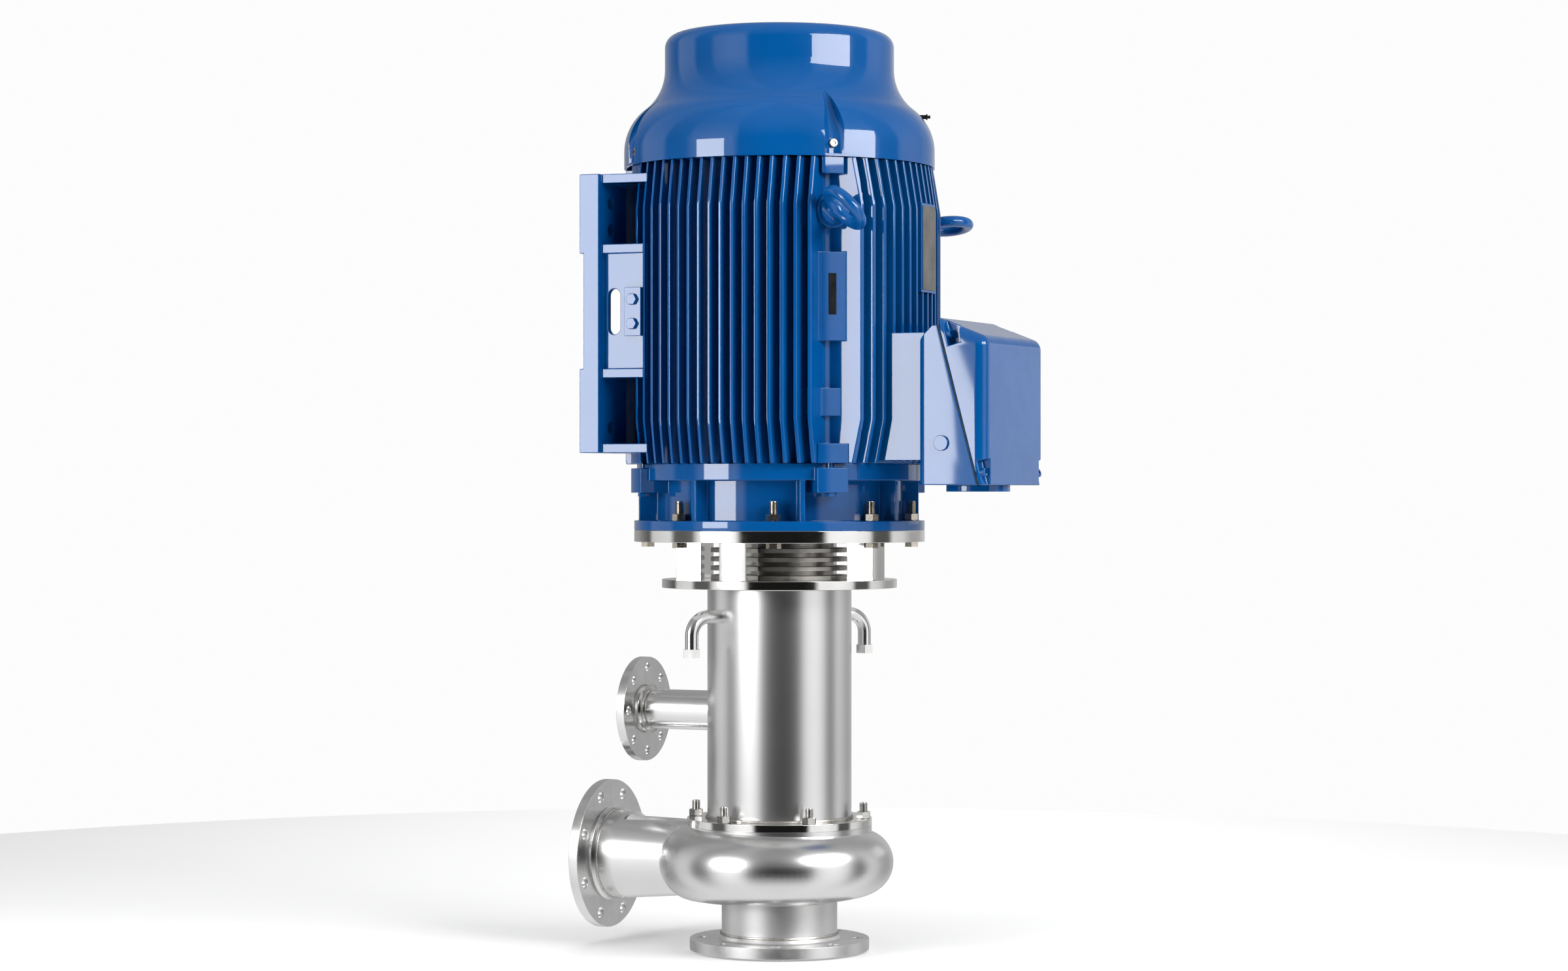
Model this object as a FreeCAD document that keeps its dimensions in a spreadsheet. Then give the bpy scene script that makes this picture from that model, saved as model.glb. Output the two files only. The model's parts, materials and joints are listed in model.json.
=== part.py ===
import FreeCAD, Part
import math
import os
import re

import Sketcher

# Vertical sealless centrifugal pump with a flanged motor on top.
# Origin: centre of the suction flange's bottom face. +Z runs up the shaft,
# -X points along the discharge nozzle, +X towards the terminal box. Millimetres.

os.makedirs("parts", exist_ok=True)
doc = FreeCAD.newDocument("VerticalPump")
sheet = doc.addObject("Spreadsheet::Sheet", "Sizes")

SIZES = [
    # Suction side, DN 200
    ("suction_flange_dia", 340, "outside diameter of the suction flange"),
    ("suction_flange_thick", 24, "thickness of the suction flange with its raised face"),
    ("suction_bolt_circle", 295, "suction bolt circle"),
    ("suction_bolt_count", 8, "holes in the suction flange"),
    ("suction_bolt_hole", 22, "suction bolt hole"),
    ("suction_face_dia", 268, "raised face of the suction flange"),
    ("raised_face", 3, "height of the raised faces"),
    ("suction_pipe_dia", 219.1, "outside diameter of the suction pipe"),
    ("suction_pipe_wall", 6.3, "wall of the suction pipe"),
    ("weld_neck", 9, "height of the tapered necks behind the flanges"),
    ("weld_neck_rise", 5, "how far a tapered neck stands out from its pipe"),
    # Volute
    ("volute_height", 168, "height of the volute's middle plane"),
    ("volute_start_radius", 50, "tube radius at the tongue"),
    ("volute_end_radius", 72, "tube radius at the throat"),
    ("volute_close_radius", 58, "tube radius where the ring closes"),
    ("volute_tongue_angle", 170, "azimuth of the tongue in degrees"),
    ("volute_grow_angle", 325, "turn over which the tube grows"),
    ("volute_close_angle", 35, "turn over which the tube closes into the nozzle"),
    ("casing_wall", 6, "wall of the volute"),
    ("casing_core_drop", 50, "depth of the impeller chamber below the middle plane"),
    ("casing_flange_thick", 12, "thickness of the flange on the volute"),
    ("casing_rise", 70, "height of the volute's top face above the middle plane"),
    ("recess_land", 3, "land between the casing cover's recess and the studs"),
    ("cover_recess_depth", 8, "depth of the recess for the casing cover"),
    ("seat_width", 12, "width of the seat under the casing cover"),
    ("chamber_shell", 18, "distance from the impeller chamber's bore to the volute's centre line"),
    ("chamber_drop", 44, "depth of the chamber's floor below the middle plane"),
    ("suction_seam_drop", 71, "distance of the suction pipe's seam below the middle plane"),
    # Discharge side, DN 150
    ("discharge_reach", 380, "distance from the shaft to the discharge flange's face"),
    ("discharge_flange_dia", 285, "outside diameter of the discharge flange"),
    ("discharge_flange_thick", 22, "thickness of the discharge flange with its raised face"),
    ("discharge_bolt_circle", 240, "discharge bolt circle"),
    ("discharge_bolt_count", 8, "holes in the discharge flange"),
    ("discharge_bolt_hole", 22, "discharge bolt hole"),
    ("discharge_face_dia", 212, "raised face of the discharge flange"),
    ("discharge_pipe_dia", 168.3, "outside diameter of the discharge nozzle"),
    ("nozzle_throat_radius", 66, "radius of the nozzle's cone where it leaves the ring"),
    ("nozzle_throat_reach", 105, "distance from the shaft to the start of the cone"),
    ("nozzle_cone_reach", 318, "distance from the shaft to the end of the cone"),
    ("nozzle_seam_reach", 236, "distance from the shaft to the seam of the discharge nozzle"),
    # Column
    ("column_pipe_dia", 273, "outside diameter of the column"),
    ("column_pipe_wall", 6.3, "wall of the column"),
    ("column_foot_thick", 14, "thickness of the column's lower flange"),
    ("column_length", 435, "length of the column above its lower flange"),
    ("stud_stand_off", 24.5, "distance of the casing studs from the column"),
    ("stud_edge", 14, "distance of the casing studs from the edge of their flanges"),
    ("stud_count", 6, "number of casing studs"),
    ("stud_first_angle", 15, "azimuth of the first stud in degrees"),
    ("stud_dia", 16, "diameter of the casing studs"),
    ("stud_above", 30, "how far a stud stands above the column's lower flange"),
    ("stud_depth", 10, "how deep a stud is screwed into the volute's flange"),
    ("stud_nut_width", 24, "width across flats of the stud nuts"),
    ("stud_nut_thick", 13, "thickness of the stud nuts"),
    ("bolt_clearance", 1, "radial clearance of a bolt in its hole"),
    # Side branch
    ("branch_rise", 212, "height of the side branch above the volute"),
    ("branch_reach", 300, "distance from the shaft to the side branch's face"),
    ("branch_pipe_dia", 76.1, "outside diameter of the side branch"),
    ("branch_pipe_wall", 3.2, "wall of the side branch"),
    ("branch_flange_dia", 200, "outside diameter of the branch flange"),
    ("branch_flange_thick", 20, "thickness of the branch flange with its raised face"),
    ("branch_bolt_circle", 160, "branch bolt circle"),
    ("branch_bolt_count", 8, "holes in the branch flange"),
    ("branch_bolt_hole", 18, "branch bolt hole"),
    ("branch_face_dia", 132, "raised face of the branch flange"),
    # Gas pipes
    ("gas_pipe_dia", 25, "outside diameter of the two bent pipes"),
    ("gas_pipe_wall", 2, "wall of the two bent pipes"),
    ("gas_pipe_depth", 53, "depth of the bent pipes' level run below the lantern"),
    ("gas_pipe_reach", 195, "distance from the shaft to the bent pipes' drop"),
    ("gas_pipe_bend", 35, "bend radius of the bent pipes"),
    ("gas_pipe_drop", 60, "length of the bent pipes' drop"),
    ("gas_pipe_angle", 58, "azimuth of the rear bent pipe in degrees"),
    ("union_dia", 30, "diameter of the unions on the bent pipes"),
    ("union_length", 16, "length of the unions on the bent pipes"),
    # Lantern
    ("plate_dia", 445, "diameter of the lantern's lower plate"),
    ("plate_thick", 16, "thickness of the lantern's lower plate"),
    ("plate_bore", 140, "bore of the lantern's lower plate"),
    ("post_outer_radius", 207, "outside radius of the lantern posts"),
    ("post_depth", 55, "depth of the lantern posts"),
    ("post_width", 55, "width of the lantern posts"),
    ("post_count", 4, "number of lantern posts"),
    ("post_length", 71, "height of the lantern posts"),
    ("ring_dia", 550, "diameter of the lantern's upper ring"),
    ("ring_thick", 22, "thickness of the lantern's upper ring"),
    ("ring_bore", 290, "bore of the lantern's upper ring"),
    # Motor flange
    ("spigot_dia", 450, "spigot of the motor flange"),
    ("spigot_height", 5, "height of the motor spigot"),
    ("spigot_gap", 0.15, "radial gap around the motor spigot"),
    ("motor_flange_dia", 550, "diameter of the motor flange"),
    ("motor_flange_thick", 18, "thickness of the motor flange"),
    ("motor_bolt_circle", 500, "bolt circle of the motor flange"),
    ("motor_bolt_count", 8, "bolts in the motor flange"),
    ("motor_bolt_hole", 18.5, "bolt hole of the motor flange"),
    ("motor_bolt_dia", 16, "diameter of the motor flange bolts"),
    ("motor_bolt_head", 10, "head thickness of the motor flange bolts"),
    ("motor_bolt_width", 24, "width across flats of the motor flange bolts"),
    ("motor_bolt_end", 37, "how far a motor flange bolt stands above the flange"),
    ("motor_nut_thick", 13, "thickness of the motor flange nuts"),
    # Drive end shield
    ("shield_height", 124, "height of the drive end shield"),
    ("shield_drum_radius", 233, "outside radius of the drive end shield's drum"),
    ("shield_rim_radius", 270, "outside radius of the drive end shield's rim"),
    ("shield_rim_height", 31, "height of the drive end shield's rim"),
    ("shield_web_count", 8, "webs on the drive end shield"),
    ("shield_web_angle", 34, "azimuth of the first web in degrees"),
    ("shield_web_thick", 10, "thickness of the webs"),
    ("shield_wall", 12, "wall of the end shields"),
    ("shield_hub_radius", 112, "outside radius of the bearing hubs"),
    ("register_depth", 8, "depth of the registers in the motor frame"),
    ("corner_radius", 287, "how far the corner bosses reach"),
    ("corner_width", 60, "width of the corner bosses"),
    ("corner_drop", 54, "depth of the shield's corner bosses below its top"),
    ("corner_gap", 8, "gap between the shield's corner bosses and its top"),
    ("shield_screw_radius", 270, "circle radius of the screws in the corners"),
    ("shield_screw_reach", 26, "depth of the corner screws in the frame"),
    ("low_boss_height", 36, "height of the frame's lower corner bosses"),
    ("high_boss_height", 31, "height of the frame's upper corner bosses"),
    # Motor frame
    ("frame_length", 558, "length of the motor frame"),
    ("frame_core_radius", 258, "outside radius of the frame between its fins"),
    ("frame_bore_radius", 240, "bore radius of the motor frame"),
    ("register_radius", 245, "radius of the registers in the motor frame"),
    ("fin_tip_radius", 305, "radius over the fin tips"),
    ("fin_taper", 14, "how far the fins fall in at the frame's ends"),
    ("fin_top_taper", 87, "length over which the fins fall in at the top"),
    ("fin_bottom_taper", 80, "length over which the fins fall in at the bottom"),
    ("fin_pitch", 22, "spacing of the fins"),
    ("fin_side_count", 8, "fins on each side of a quadrant's middle"),
    ("fin_thick", 6, "thickness of the fins"),
    ("back_fin_set", 35, "how far the fins between the feet stand back"),
    ("back_fin_count", 5, "fins on each side of the middle between the feet"),
    # Feet
    ("foot_reach", 280, "distance from the shaft to the feet"),
    ("foot_start", 144, "height of the feet's lower ends above the motor flange"),
    ("foot_length", 517, "length of the feet"),
    ("foot_set", 26.5, "how far the feet stand back from the fin tips"),
    ("foot_inner", 133, "half the gap between the feet"),
    ("foot_thick", 40, "thickness of the feet"),
    ("foot_relief", 8, "how far the feet stand back between their pads"),
    ("foot_low_pad", 156, "length of the feet's lower pads"),
    ("foot_high_pad", 147, "length of the feet's upper pads"),
    ("foot_strip", 34, "width of the feet between their pads"),
    ("foot_rib", 17, "thickness of the feet's cross ribs"),
    ("foot_wall", 12, "thickness of the feet's walls"),
    ("web_inner_reach", 149, "distance from the shaft to the inner end of the feet's webs"),
    ("web_set", 47, "how far the feet's webs stand back from the fin tips"),
    ("foot_hole", 24, "hole in the feet"),
    ("foot_hole_edge", 50, "distance of the foot holes from the feet's outer sides"),
    ("foot_hole_low", 190, "height of the lowest foot holes above the motor flange"),
    ("foot_hole_mid", 368, "spacing of the lowest and middle foot holes"),
    ("foot_hole_high", 419, "spacing of the lowest and highest foot holes"),
    ("slot_width", 25, "width of the lifting slot in the feet"),
    ("slot_length", 85, "length of the lifting slot in the feet"),
    ("slot_rise", 406, "height of the lifting slot's middle above the motor flange"),
    ("slot_reach", 218, "distance from the shaft to the lifting slot"),
    # Motor inside
    ("stator_length", 300, "length of the stator core"),
    ("stator_start", 244, "height of the stator core's lower end above the motor flange"),
    ("stator_bore_radius", 150, "bore radius of the stator core"),
    ("air_gap", 1, "gap between the stator and the rotor"),
    ("winding_outer_radius", 226, "outside radius of the end windings"),
    ("winding_inner_radius", 160, "inside radius of the end windings"),
    ("winding_overhang", 70, "overhang of the end windings"),
    ("end_ring_length", 30, "length of the rotor's end rings"),
    ("end_ring_inner_radius", 96, "inside radius of the rotor's end rings"),
    # Shaft and bearings
    ("shaft_core_radius", 45, "radius of the motor shaft in the rotor"),
    ("journal_radius", 40, "radius of the motor shaft's journals"),
    ("extension_radius", 37.5, "radius of the motor shaft's extension"),
    ("extension_length", 140, "length of the motor shaft's extension"),
    ("fan_seat_radius", 32, "radius of the motor shaft under the fan"),
    ("bearing_outer_radius", 85, "outside radius of the three bearings"),
    ("bearing_width", 39, "width of the motor bearings"),
    ("drive_bearing_start", 32, "height of the drive end bearing above the motor flange"),
    ("rear_bearing_start", 8, "height of the non-drive end bearing above the frame"),
    ("bearing_race", 11, "thickness of the motor bearings' rings"),
    ("roller_count", 12, "rollers in a motor bearing"),
    ("roller_gap", 0.05, "radial clearance of the rollers"),
    ("roller_inset", 3, "how far the rollers stand back from the rings' faces"),
    ("cage_inset", 1, "how far the cages stand back from the rollers' ends"),
    ("cage_share", 0.35, "thickness of a cage as a share of its rollers"),
    ("bore_lip_radius", 60, "radius of the openings in the bearing hubs"),
    ("cap_thick", 10, "thickness of the bearing caps"),
    ("shaft_gap", 3, "gap between the shaft and the bearing caps"),
    # Pump shaft and impeller
    ("pump_bearing_start", 28, "height of the pump bearing above the lantern plate"),
    ("pump_bearing_width", 28, "width of the pump bearing"),
    ("pump_race", 7, "thickness of the pump bearing's rings"),
    ("pump_roller_count", 14, "rollers in the pump bearing"),
    ("sleeve_radius", 55, "radius of the pump shaft's hollow head"),
    ("sleeve_gap", 11, "gap between the pump shaft's upper end and the motor flange"),
    ("sleeve_length", 145, "length of the pump shaft's hollow head"),
    ("sleeve_taper", 30, "length of the cone below the hollow head"),
    ("pump_shaft_radius", 38, "radius of the pump shaft in the column"),
    ("impeller_seat_radius", 25, "radius of the pump shaft in the impeller"),
    ("impeller_seat_drop", 22, "depth of the shaft's end below the middle plane"),
    ("impeller_nut_height", 14, "height of the impeller nut's hexagon"),
    ("impeller_nut_dome", 14, "depth of the impeller nut's dome"),
    ("shoulder_rise", 38, "height of the shaft's shoulder above the middle plane"),
    ("impeller_nut_radius", 30, "radius of the impeller nut's dome"),
    ("impeller_gap", 13, "radial gap around the impeller"),
    ("impeller_eye_radius", 95, "outside radius of the impeller's eye"),
    ("impeller_eye_drop", 48, "depth of the impeller's eye below the middle plane"),
    ("impeller_outlet_drop", 10, "lower edge of the impeller's outlet below the middle plane"),
    ("impeller_outlet_rise", 15, "upper edge of the impeller's outlet above the middle plane"),
    ("impeller_disc", 8, "thickness of the impeller's discs"),
    ("impeller_hub_radius", 44, "radius of the impeller's hub"),
    ("impeller_nose_radius", 34, "radius of the hub at the nut"),
    ("vane_wrap", 75, "turn of a vane from hub to rim in degrees"),
    ("vane_bulge", 0.62, "how early a vane turns, as a share of its wrap"),
    ("impeller_vane_count", 6, "vanes in the impeller"),
    ("impeller_vane_thick", 6, "thickness of the impeller's vanes"),
    ("back_vane_count", 8, "vanes on the impeller's back"),
    ("back_vane_height", 13, "height of the vanes on the impeller's back"),
    ("back_vane_gap", 1.5, "gap between the back vanes and the casing cover"),
    ("wear_ring_gap", 0.4, "radial gap at the wear ring"),
    ("wear_ring_height", 20, "height of the wear ring"),
    ("cover_bore_radius", 44, "bore radius of the casing cover"),
    ("gasket_thick", 2, "thickness of the casing gasket"),
    ("side_gap", 0.3, "clearance of pieces that pass without touching"),
    ("key_sink", 0.6, "share of a key's height that lies in its shaft"),
    ("key_end_gap", 8, "distance from a key's end to the shaft's shoulder"),
    ("coupling_key_width", 20, "width of the coupling key"),
    ("coupling_key_height", 12, "height of the coupling key"),
    ("impeller_key_width", 14, "width of the impeller key"),
    ("impeller_key_height", 9, "height of the impeller key"),
    ("coupling_key_length", 100, "length of the key in the pump shaft's head"),
    ("impeller_key_length", 30, "length of the impeller key"),
    # Bearing housing
    ("housing_hub_radius", 103, "outside radius of the bearing housing's hub"),
    ("housing_fin_radius", 130, "outside radius of the bearing housing's discs"),
    ("housing_fin_thick", 8, "thickness of the bearing housing's discs"),
    ("housing_fin_pitch", 17, "spacing of the bearing housing's discs"),
    ("housing_fin_count", 4, "discs on the bearing housing"),
    ("housing_cover_thick", 8, "thickness of the bearing housing's cover"),
    ("housing_cover_seat", 7, "depth of the bearing housing's cover in its bore"),
    # Fan and its cover
    ("bell_wall", 5, "wall of the fan cover"),
    ("bell_height", 254, "height of the fan cover"),
    ("bell_skirt_radius", 294, "radius of the fan cover's lower edge"),
    ("bell_skirt_height", 32, "height of the fan cover's upright skirt"),
    ("bell_neck_radius", 217, "radius of the fan cover's neck"),
    ("bell_neck_bottom", 188, "height of the neck above the cover's lower edge"),
    ("bell_top_round", 25, "rounding of the fan cover's top edge"),
    ("groove_reach", 307, "distance from the shaft to the screw grooves' middle"),
    ("groove_radius", 24, "radius of the screw grooves in the fan cover"),
    ("groove_start", 4, "height of the grooves above the cover's lower edge"),
    ("groove_straight", 42, "height of the frame's top to where the grooves lean inwards"),
    ("groove_length", 126, "height over which the grooves run out"),
    ("groove_lean", 64, "how far the grooves lean inwards"),
    ("groove_tip_radius", 4, "radius of the grooves' upper ends"),
    ("cover_screw_rise", 24, "height of the cover screws above the frame"),
    ("cover_screw_dia", 8, "diameter of the cover screws"),
    ("cover_screw_head", 5, "thickness of the cover screws' heads"),
    ("rear_shield_radius", 262, "radius of the rear end shield"),
    ("rear_rim_height", 22, "height of the rear end shield's rim"),
    ("rear_ear_radius", 277.7, "reach of the rear end shield's ears"),
    ("rear_ear_height", 36, "height of the rear end shield's ears"),
    ("nipple_rise", 100, "height of the grease nipple above the frame"),
    ("nipple_angle", 25, "azimuth of the grease nipple in degrees"),
    ("nipple_inner", 258, "distance from the shaft to the nipple's inner end"),
    ("nipple_reach", 286, "distance from the shaft to the nipple's tip"),
    ("nipple_radius", 4, "radius of the grease nipple"),
    ("nipple_cap", 8, "length of the grease nipple's cap"),
    ("nipple_cap_radius", 5.5, "radius of the grease nipple's cap"),
    ("inlet_radius", 172, "radius of the air inlet"),
    ("grille_rings", 5, "rings in the air inlet grille"),
    ("grille_spokes", 4, "spokes in the air inlet grille"),
    ("grille_bar", 5, "thickness of the grille's bars"),
    ("fan_radius", 196, "radius of the cooling fan"),
    ("fan_blade_count", 9, "blades of the cooling fan"),
    ("fan_start", 98, "height of the cooling fan's disc above the frame"),
    ("fan_blade_height", 82, "height of the fan blades"),
    ("fan_blade_inner", 110, "radius where the fan blades' tops begin"),
    ("fan_disc_thick", 5, "thickness of the fan's disc"),
    ("fan_hub_radius", 58, "outside radius of the fan's hub"),
    ("fan_hub_height", 60, "height of the fan's hub"),
    # Terminal box
    ("box_back", 346, "distance from the shaft to the terminal box's back"),
    ("box_reach", 478, "distance from the shaft to the terminal box's lid"),
    ("box_half_width", 150, "half the width of the terminal box"),
    ("box_start", 84, "height of the terminal box's underside above the motor flange"),
    ("box_height", 290, "height of the terminal box at its back"),
    ("box_front_height", 267, "height of the terminal box at its front"),
    ("box_split_top", 385, "distance from the shaft to the lid's joint at the top"),
    ("box_split_bottom", 462, "distance from the shaft to the lid's joint at the bottom"),
    ("box_wall", 6, "wall of the terminal box"),
    ("box_round", 16, "rounding of the terminal box's corners"),
    ("box_bevel", 28, "bevel along the terminal box's upper back edge"),
    ("lid_round", 22, "rounding of the lid's upper and upright edges"),
    ("lid_crown", 14, "how far the lid stands above the box's top"),
    ("lead_half_width", 60, "half the width of the lead opening"),
    ("lead_start", 190, "height of the lead opening above the motor flange"),
    ("lead_height", 90, "height of the lead opening"),
    ("board_margin", 8, "margin of the terminal board around the lead opening"),
    ("board_thick", 20, "thickness of the terminal board"),
    ("board_stud_length", 26, "length of the terminal studs"),
    ("board_stud_dia", 10, "diameter of the terminal studs"),
    ("lid_screw_inset", 20, "distance of the lid screws from the joint's ends"),
    ("lid_screw_side", 13, "distance of the lid screws from the box's sides"),
    ("lid_screw_dia", 10, "diameter of the lid screws"),
    ("lid_screw_head", 8, "thickness and radius of the lid screws' heads"),
    ("lid_screw_depth", 20, "how deep the lid screws reach into the box"),
    ("pocket_reach", 42, "length of the screw pockets along the lid's joint"),
    ("pocket_width", 26, "width of the screw pockets"),
    ("pocket_depth", 26, "depth of the screw pockets"),
    ("lug_thick", 8, "thickness of the lid under its screws"),
    ("lid_gasket", 2, "thickness of the lid's gasket"),
    ("neck_half_width", 116, "half the width of the terminal box's neck"),
    ("neck_start", 129, "height of the box neck's underside above the motor flange"),
    ("neck_height", 234, "height of the terminal box's neck"),
    ("entry_dia", 118, "diameter of the cable entry plate"),
    ("entry_reach", 405, "distance from the shaft to the cable entry"),
    ("entry_thick", 12, "thickness of the cable entry plate"),
    ("entry_bore", 70, "cable opening in the terminal box's underside"),
    ("plug_dia", 28, "diameter of the side plug"),
    ("plug_reach", 393, "distance from the shaft to the side plug"),
    ("plug_rise", 160, "height of the side plug above the motor flange"),
    ("plug_thick", 5, "thickness of the side plug"),
    # Lifting eyes and plates
    ("eye_rise", 584, "height of the lifting eyes above the motor flange"),
    ("eye_reach", 345, "distance from the shaft to the lifting eyes' middle"),
    ("eye_outer_radius", 50, "outside radius of the lifting eyes"),
    ("eye_bar_radius", 10.5, "radius of the lifting eyes' bar"),
    ("eye_collar_radius", 26, "radius of the lifting eyes' collars"),
    ("eye_collar_thick", 10, "thickness of the lifting eyes' collars"),
    ("eye_boss_reach", 288, "reach of the bosses under the lifting eyes"),
    ("eye_boss_radius", 32, "radius of the bosses under the lifting eyes"),
    ("front_eye_roll", 42, "roll of the front lifting eye in degrees"),
    ("rear_eye_roll", 80, "roll of the rear lifting eye in degrees"),
    ("name_plate_width", 58, "width of the nameplate"),
    ("name_plate_rim", 5, "rim of the pad around the nameplate"),
    ("name_pad_rise", 1, "how far the nameplate's pad stands above the fin tips"),
    ("name_plate_height", 156, "height of the nameplate"),
    ("name_plate_rise", 524, "height of the nameplate's middle above the motor flange"),
    ("plate_sheet", 1.5, "thickness of the plates"),
    ("small_plate_width", 14, "width of the small plate"),
    ("small_plate_height", 75, "height of the small plate"),
    ("small_plate_rise", 432, "height of the small plate's middle above the motor flange"),
    ("pad_width", 68, "width of the raised pads at the corners"),
    ("pad_height", 162, "height of the raised pads at the corners"),
    ("pad_rise", 428, "height of the raised pads' middle above the motor flange"),
    ("pad_reach", 282, "reach of the raised pads at the corners"),
    ("cross_bar_rise", 210, "height of the corner bars above the motor flange"),
    ("cross_bar_height", 51, "height of the corner bars"),
    ("cross_bar_width", 90, "width of the corner bars"),
    ("cross_bar_reach", 274, "reach of the corner bars"),
    ("screw_dia", 12, "diameter of the motor's small screws"),
    ("earth_rise", 405, "height of the earth terminal above the motor flange"),
    ("earth_reach", 175, "distance from the shaft to the earth terminal"),
    ("earth_width", 34, "width of the earth terminal"),
    ("earth_length", 90, "length of the earth terminal"),
    ("earth_thick", 10, "thickness of the earth terminal"),
]

for row, (alias, value, meaning) in enumerate(SIZES, 1):
    sheet.set(f"A{row}", meaning)
    sheet.set(f"B{row}", str(value))
    sheet.setAlias(f"B{row}", alias)
doc.recompute()

names = [alias for alias, value, meaning in SIZES]


class Values:
    pass


v = Values()
for alias in names:
    setattr(v, alias, float(sheet.get(alias)))

# Radii that follow from others: formulas for the sheet, and numbers
STUD_RADIUS = "(column_pipe_dia / 2 + stud_stand_off)"
FLANGE_RADIUS = STUD_RADIUS + " + stud_edge"
RECESS_RADIUS = STUD_RADIUS + " - stud_dia / 2 - recess_land"
CHAMBER_RADIUS = RECESS_RADIUS + " - seat_width"
NAME_PAD_REACH = "fin_tip_radius + name_pad_rise"

stud_radius = v.column_pipe_dia / 2 + v.stud_stand_off
flange_radius = stud_radius + v.stud_edge
recess_radius = stud_radius - v.stud_dia / 2 - v.recess_land
chamber_radius = recess_radius - v.seat_width
volute_ring_radius = chamber_radius + v.chamber_shell
impeller_radius = chamber_radius - v.impeller_gap
web_reach = v.fin_tip_radius - v.web_set
foot_outer = v.fin_tip_radius - v.foot_set
foot_hole_reach = foot_outer - v.foot_hole_edge

Vector = FreeCAD.Vector
Placement = FreeCAD.Placement
Rotation = FreeCAD.Rotation
UP = Vector(0, 0, 1)
ZERO = Vector(0, 0, 0)
nodes = []


def formula(text):
    # Write a size's name as the sheet knows it.
    def named(match):
        word = match.group(0)
        return "Sizes." + word if word in names else word
    return re.sub(r"[a-z][a-z_0-9]*", named, text)


def polar(radius, azimuth, height=0.0):
    angle = math.radians(azimuth)
    return Vector(radius * math.cos(angle), radius * math.sin(angle), height)


# Parametric bodies

def new_body(label):
    body = doc.addObject("PartDesign::Body", label)
    body.Label = label
    nodes.append(body)
    return body


def sketch_on(body, name, role):
    plane = [feature for feature in body.Origin.OriginFeatures if feature.Role == role][0]
    sketch = body.newObject("Sketcher::SketchObject", name)
    sketch.AttachmentSupport = [(plane, "")]
    sketch.MapMode = "FlatFace"
    return sketch


def outline(sketch, points):
    # A closed outline of straight edges, each corner tied to the sheet.
    count = len(points)
    rough = [Vector(10 + 5 * i, 1 + 7 * i * i, 0) for i in range(count)]
    for i in range(count):
        sketch.addGeometry(Part.LineSegment(rough[i], rough[(i + 1) % count]))
    for i in range(count):
        sketch.addConstraint(Sketcher.Constraint("Coincident", i, 2, (i + 1) % count, 1))
    for i, (across, along) in enumerate(points):
        for kind, text, start in (("DistanceX", across, rough[i].x), ("DistanceY", along, rough[i].y)):
            index = sketch.addConstraint(Sketcher.Constraint(kind, -1, 1, i, 1, start))
            sketch.setExpression(f"Constraints[{index}]", formula(text))


def turned(label, points):
    # A solid of revolution about Z. Its outline is a list of (radius, height) formulas.
    body = new_body(label)
    sketch = sketch_on(body, label + "_outline", "XZ_Plane")
    outline(sketch, points)
    turn = body.newObject("PartDesign::Revolution", label + "_turn")
    turn.Profile = sketch
    turn.ReferenceAxis = (sketch, ["V_Axis"])
    turn.Angle = 360
    doc.recompute()
    return body


def drilled(body, hole_dia, circle_dia, count, first_angle):
    # Holes through the whole body on a circle about Z.
    sketch = sketch_on(body, body.Label + "_hole", "XY_Plane")
    sketch.addGeometry(Part.Circle(Vector(60, 10, 0), UP, 5))
    angle = f"({first_angle}) * 1 deg"
    ties = (
        ("Radius", (0, 5), f"({hole_dia}) / 2"),
        ("DistanceX", (-1, 1, 0, 3, 60), f"({circle_dia}) / 2 * cos({angle})"),
        ("DistanceY", (-1, 1, 0, 3, 10), f"({circle_dia}) / 2 * sin({angle})"),
    )
    for kind, start, text in ties:
        index = sketch.addConstraint(Sketcher.Constraint(kind, *start))
        sketch.setExpression(f"Constraints[{index}]", formula(text))
    pocket = body.newObject("PartDesign::Pocket", body.Label + "_bore")
    pocket.Profile = sketch
    pocket.Type = "ThroughAll"
    pocket.SideType = "Symmetric"
    doc.recompute()
    pattern = body.newObject("PartDesign::PolarPattern", body.Label + "_circle")
    pattern.Originals = [pocket]
    pattern.Axis = (sketch, ["N_Axis"])
    pattern.Angle = 360
    pattern.setExpression("Occurrences", formula(count))
    body.Tip = pattern
    return body


def built(label, shape):
    # A sub-part whose form neither a sketch nor a primitive gives.
    feature = doc.addObject("Part::Feature", label)
    feature.Label = label
    feature.Shape = shape
    nodes.append(feature)
    return feature


# Plain solids for the forms made in code

def rod(radius, bottom, top, at=ZERO):
    return Part.makeCylinder(radius, top - bottom, at + Vector(0, 0, bottom))


def ring(inner, outer, bottom, top):
    return rod(outer, bottom, top).cut(rod(inner, bottom - 1, top + 1))


def block(low, high):
    size = Vector(*high) - Vector(*low)
    return Part.makeBox(size.x, size.y, size.z, Vector(*low))


def bar(start, end, radius):
    way = end - start
    return Part.makeCylinder(radius, way.Length, start, way)


def hexagon(width, bottom, top, at=ZERO, turn=0.0):
    corner = width / math.sqrt(3)
    points = [at + polar(corner, turn + 60 * i, bottom) for i in range(7)]
    face = Part.Face(Part.makePolygon(points))
    return face.extrude(Vector(0, 0, top - bottom))


def lathe(points):
    # A solid of revolution about Z from (radius, height) numbers.
    wire = Part.makePolygon([Vector(radius, 0, height) for radius, height in points + points[:1]])
    return Part.Face(wire).revolve(ZERO, UP, 360)


def around(shape, count, first_angle=0.0):
    # Copies of a shape about Z, the first turned to first_angle.
    copies = []
    for i in range(int(count)):
        copy = shape.copy()
        copy.rotate(ZERO, UP, first_angle + 360.0 * i / count)
        copies.append(copy)
    return copies


def union(shapes):
    return shapes[0].multiFuse(shapes[1:]).removeSplitter()


# Flanges

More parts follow.
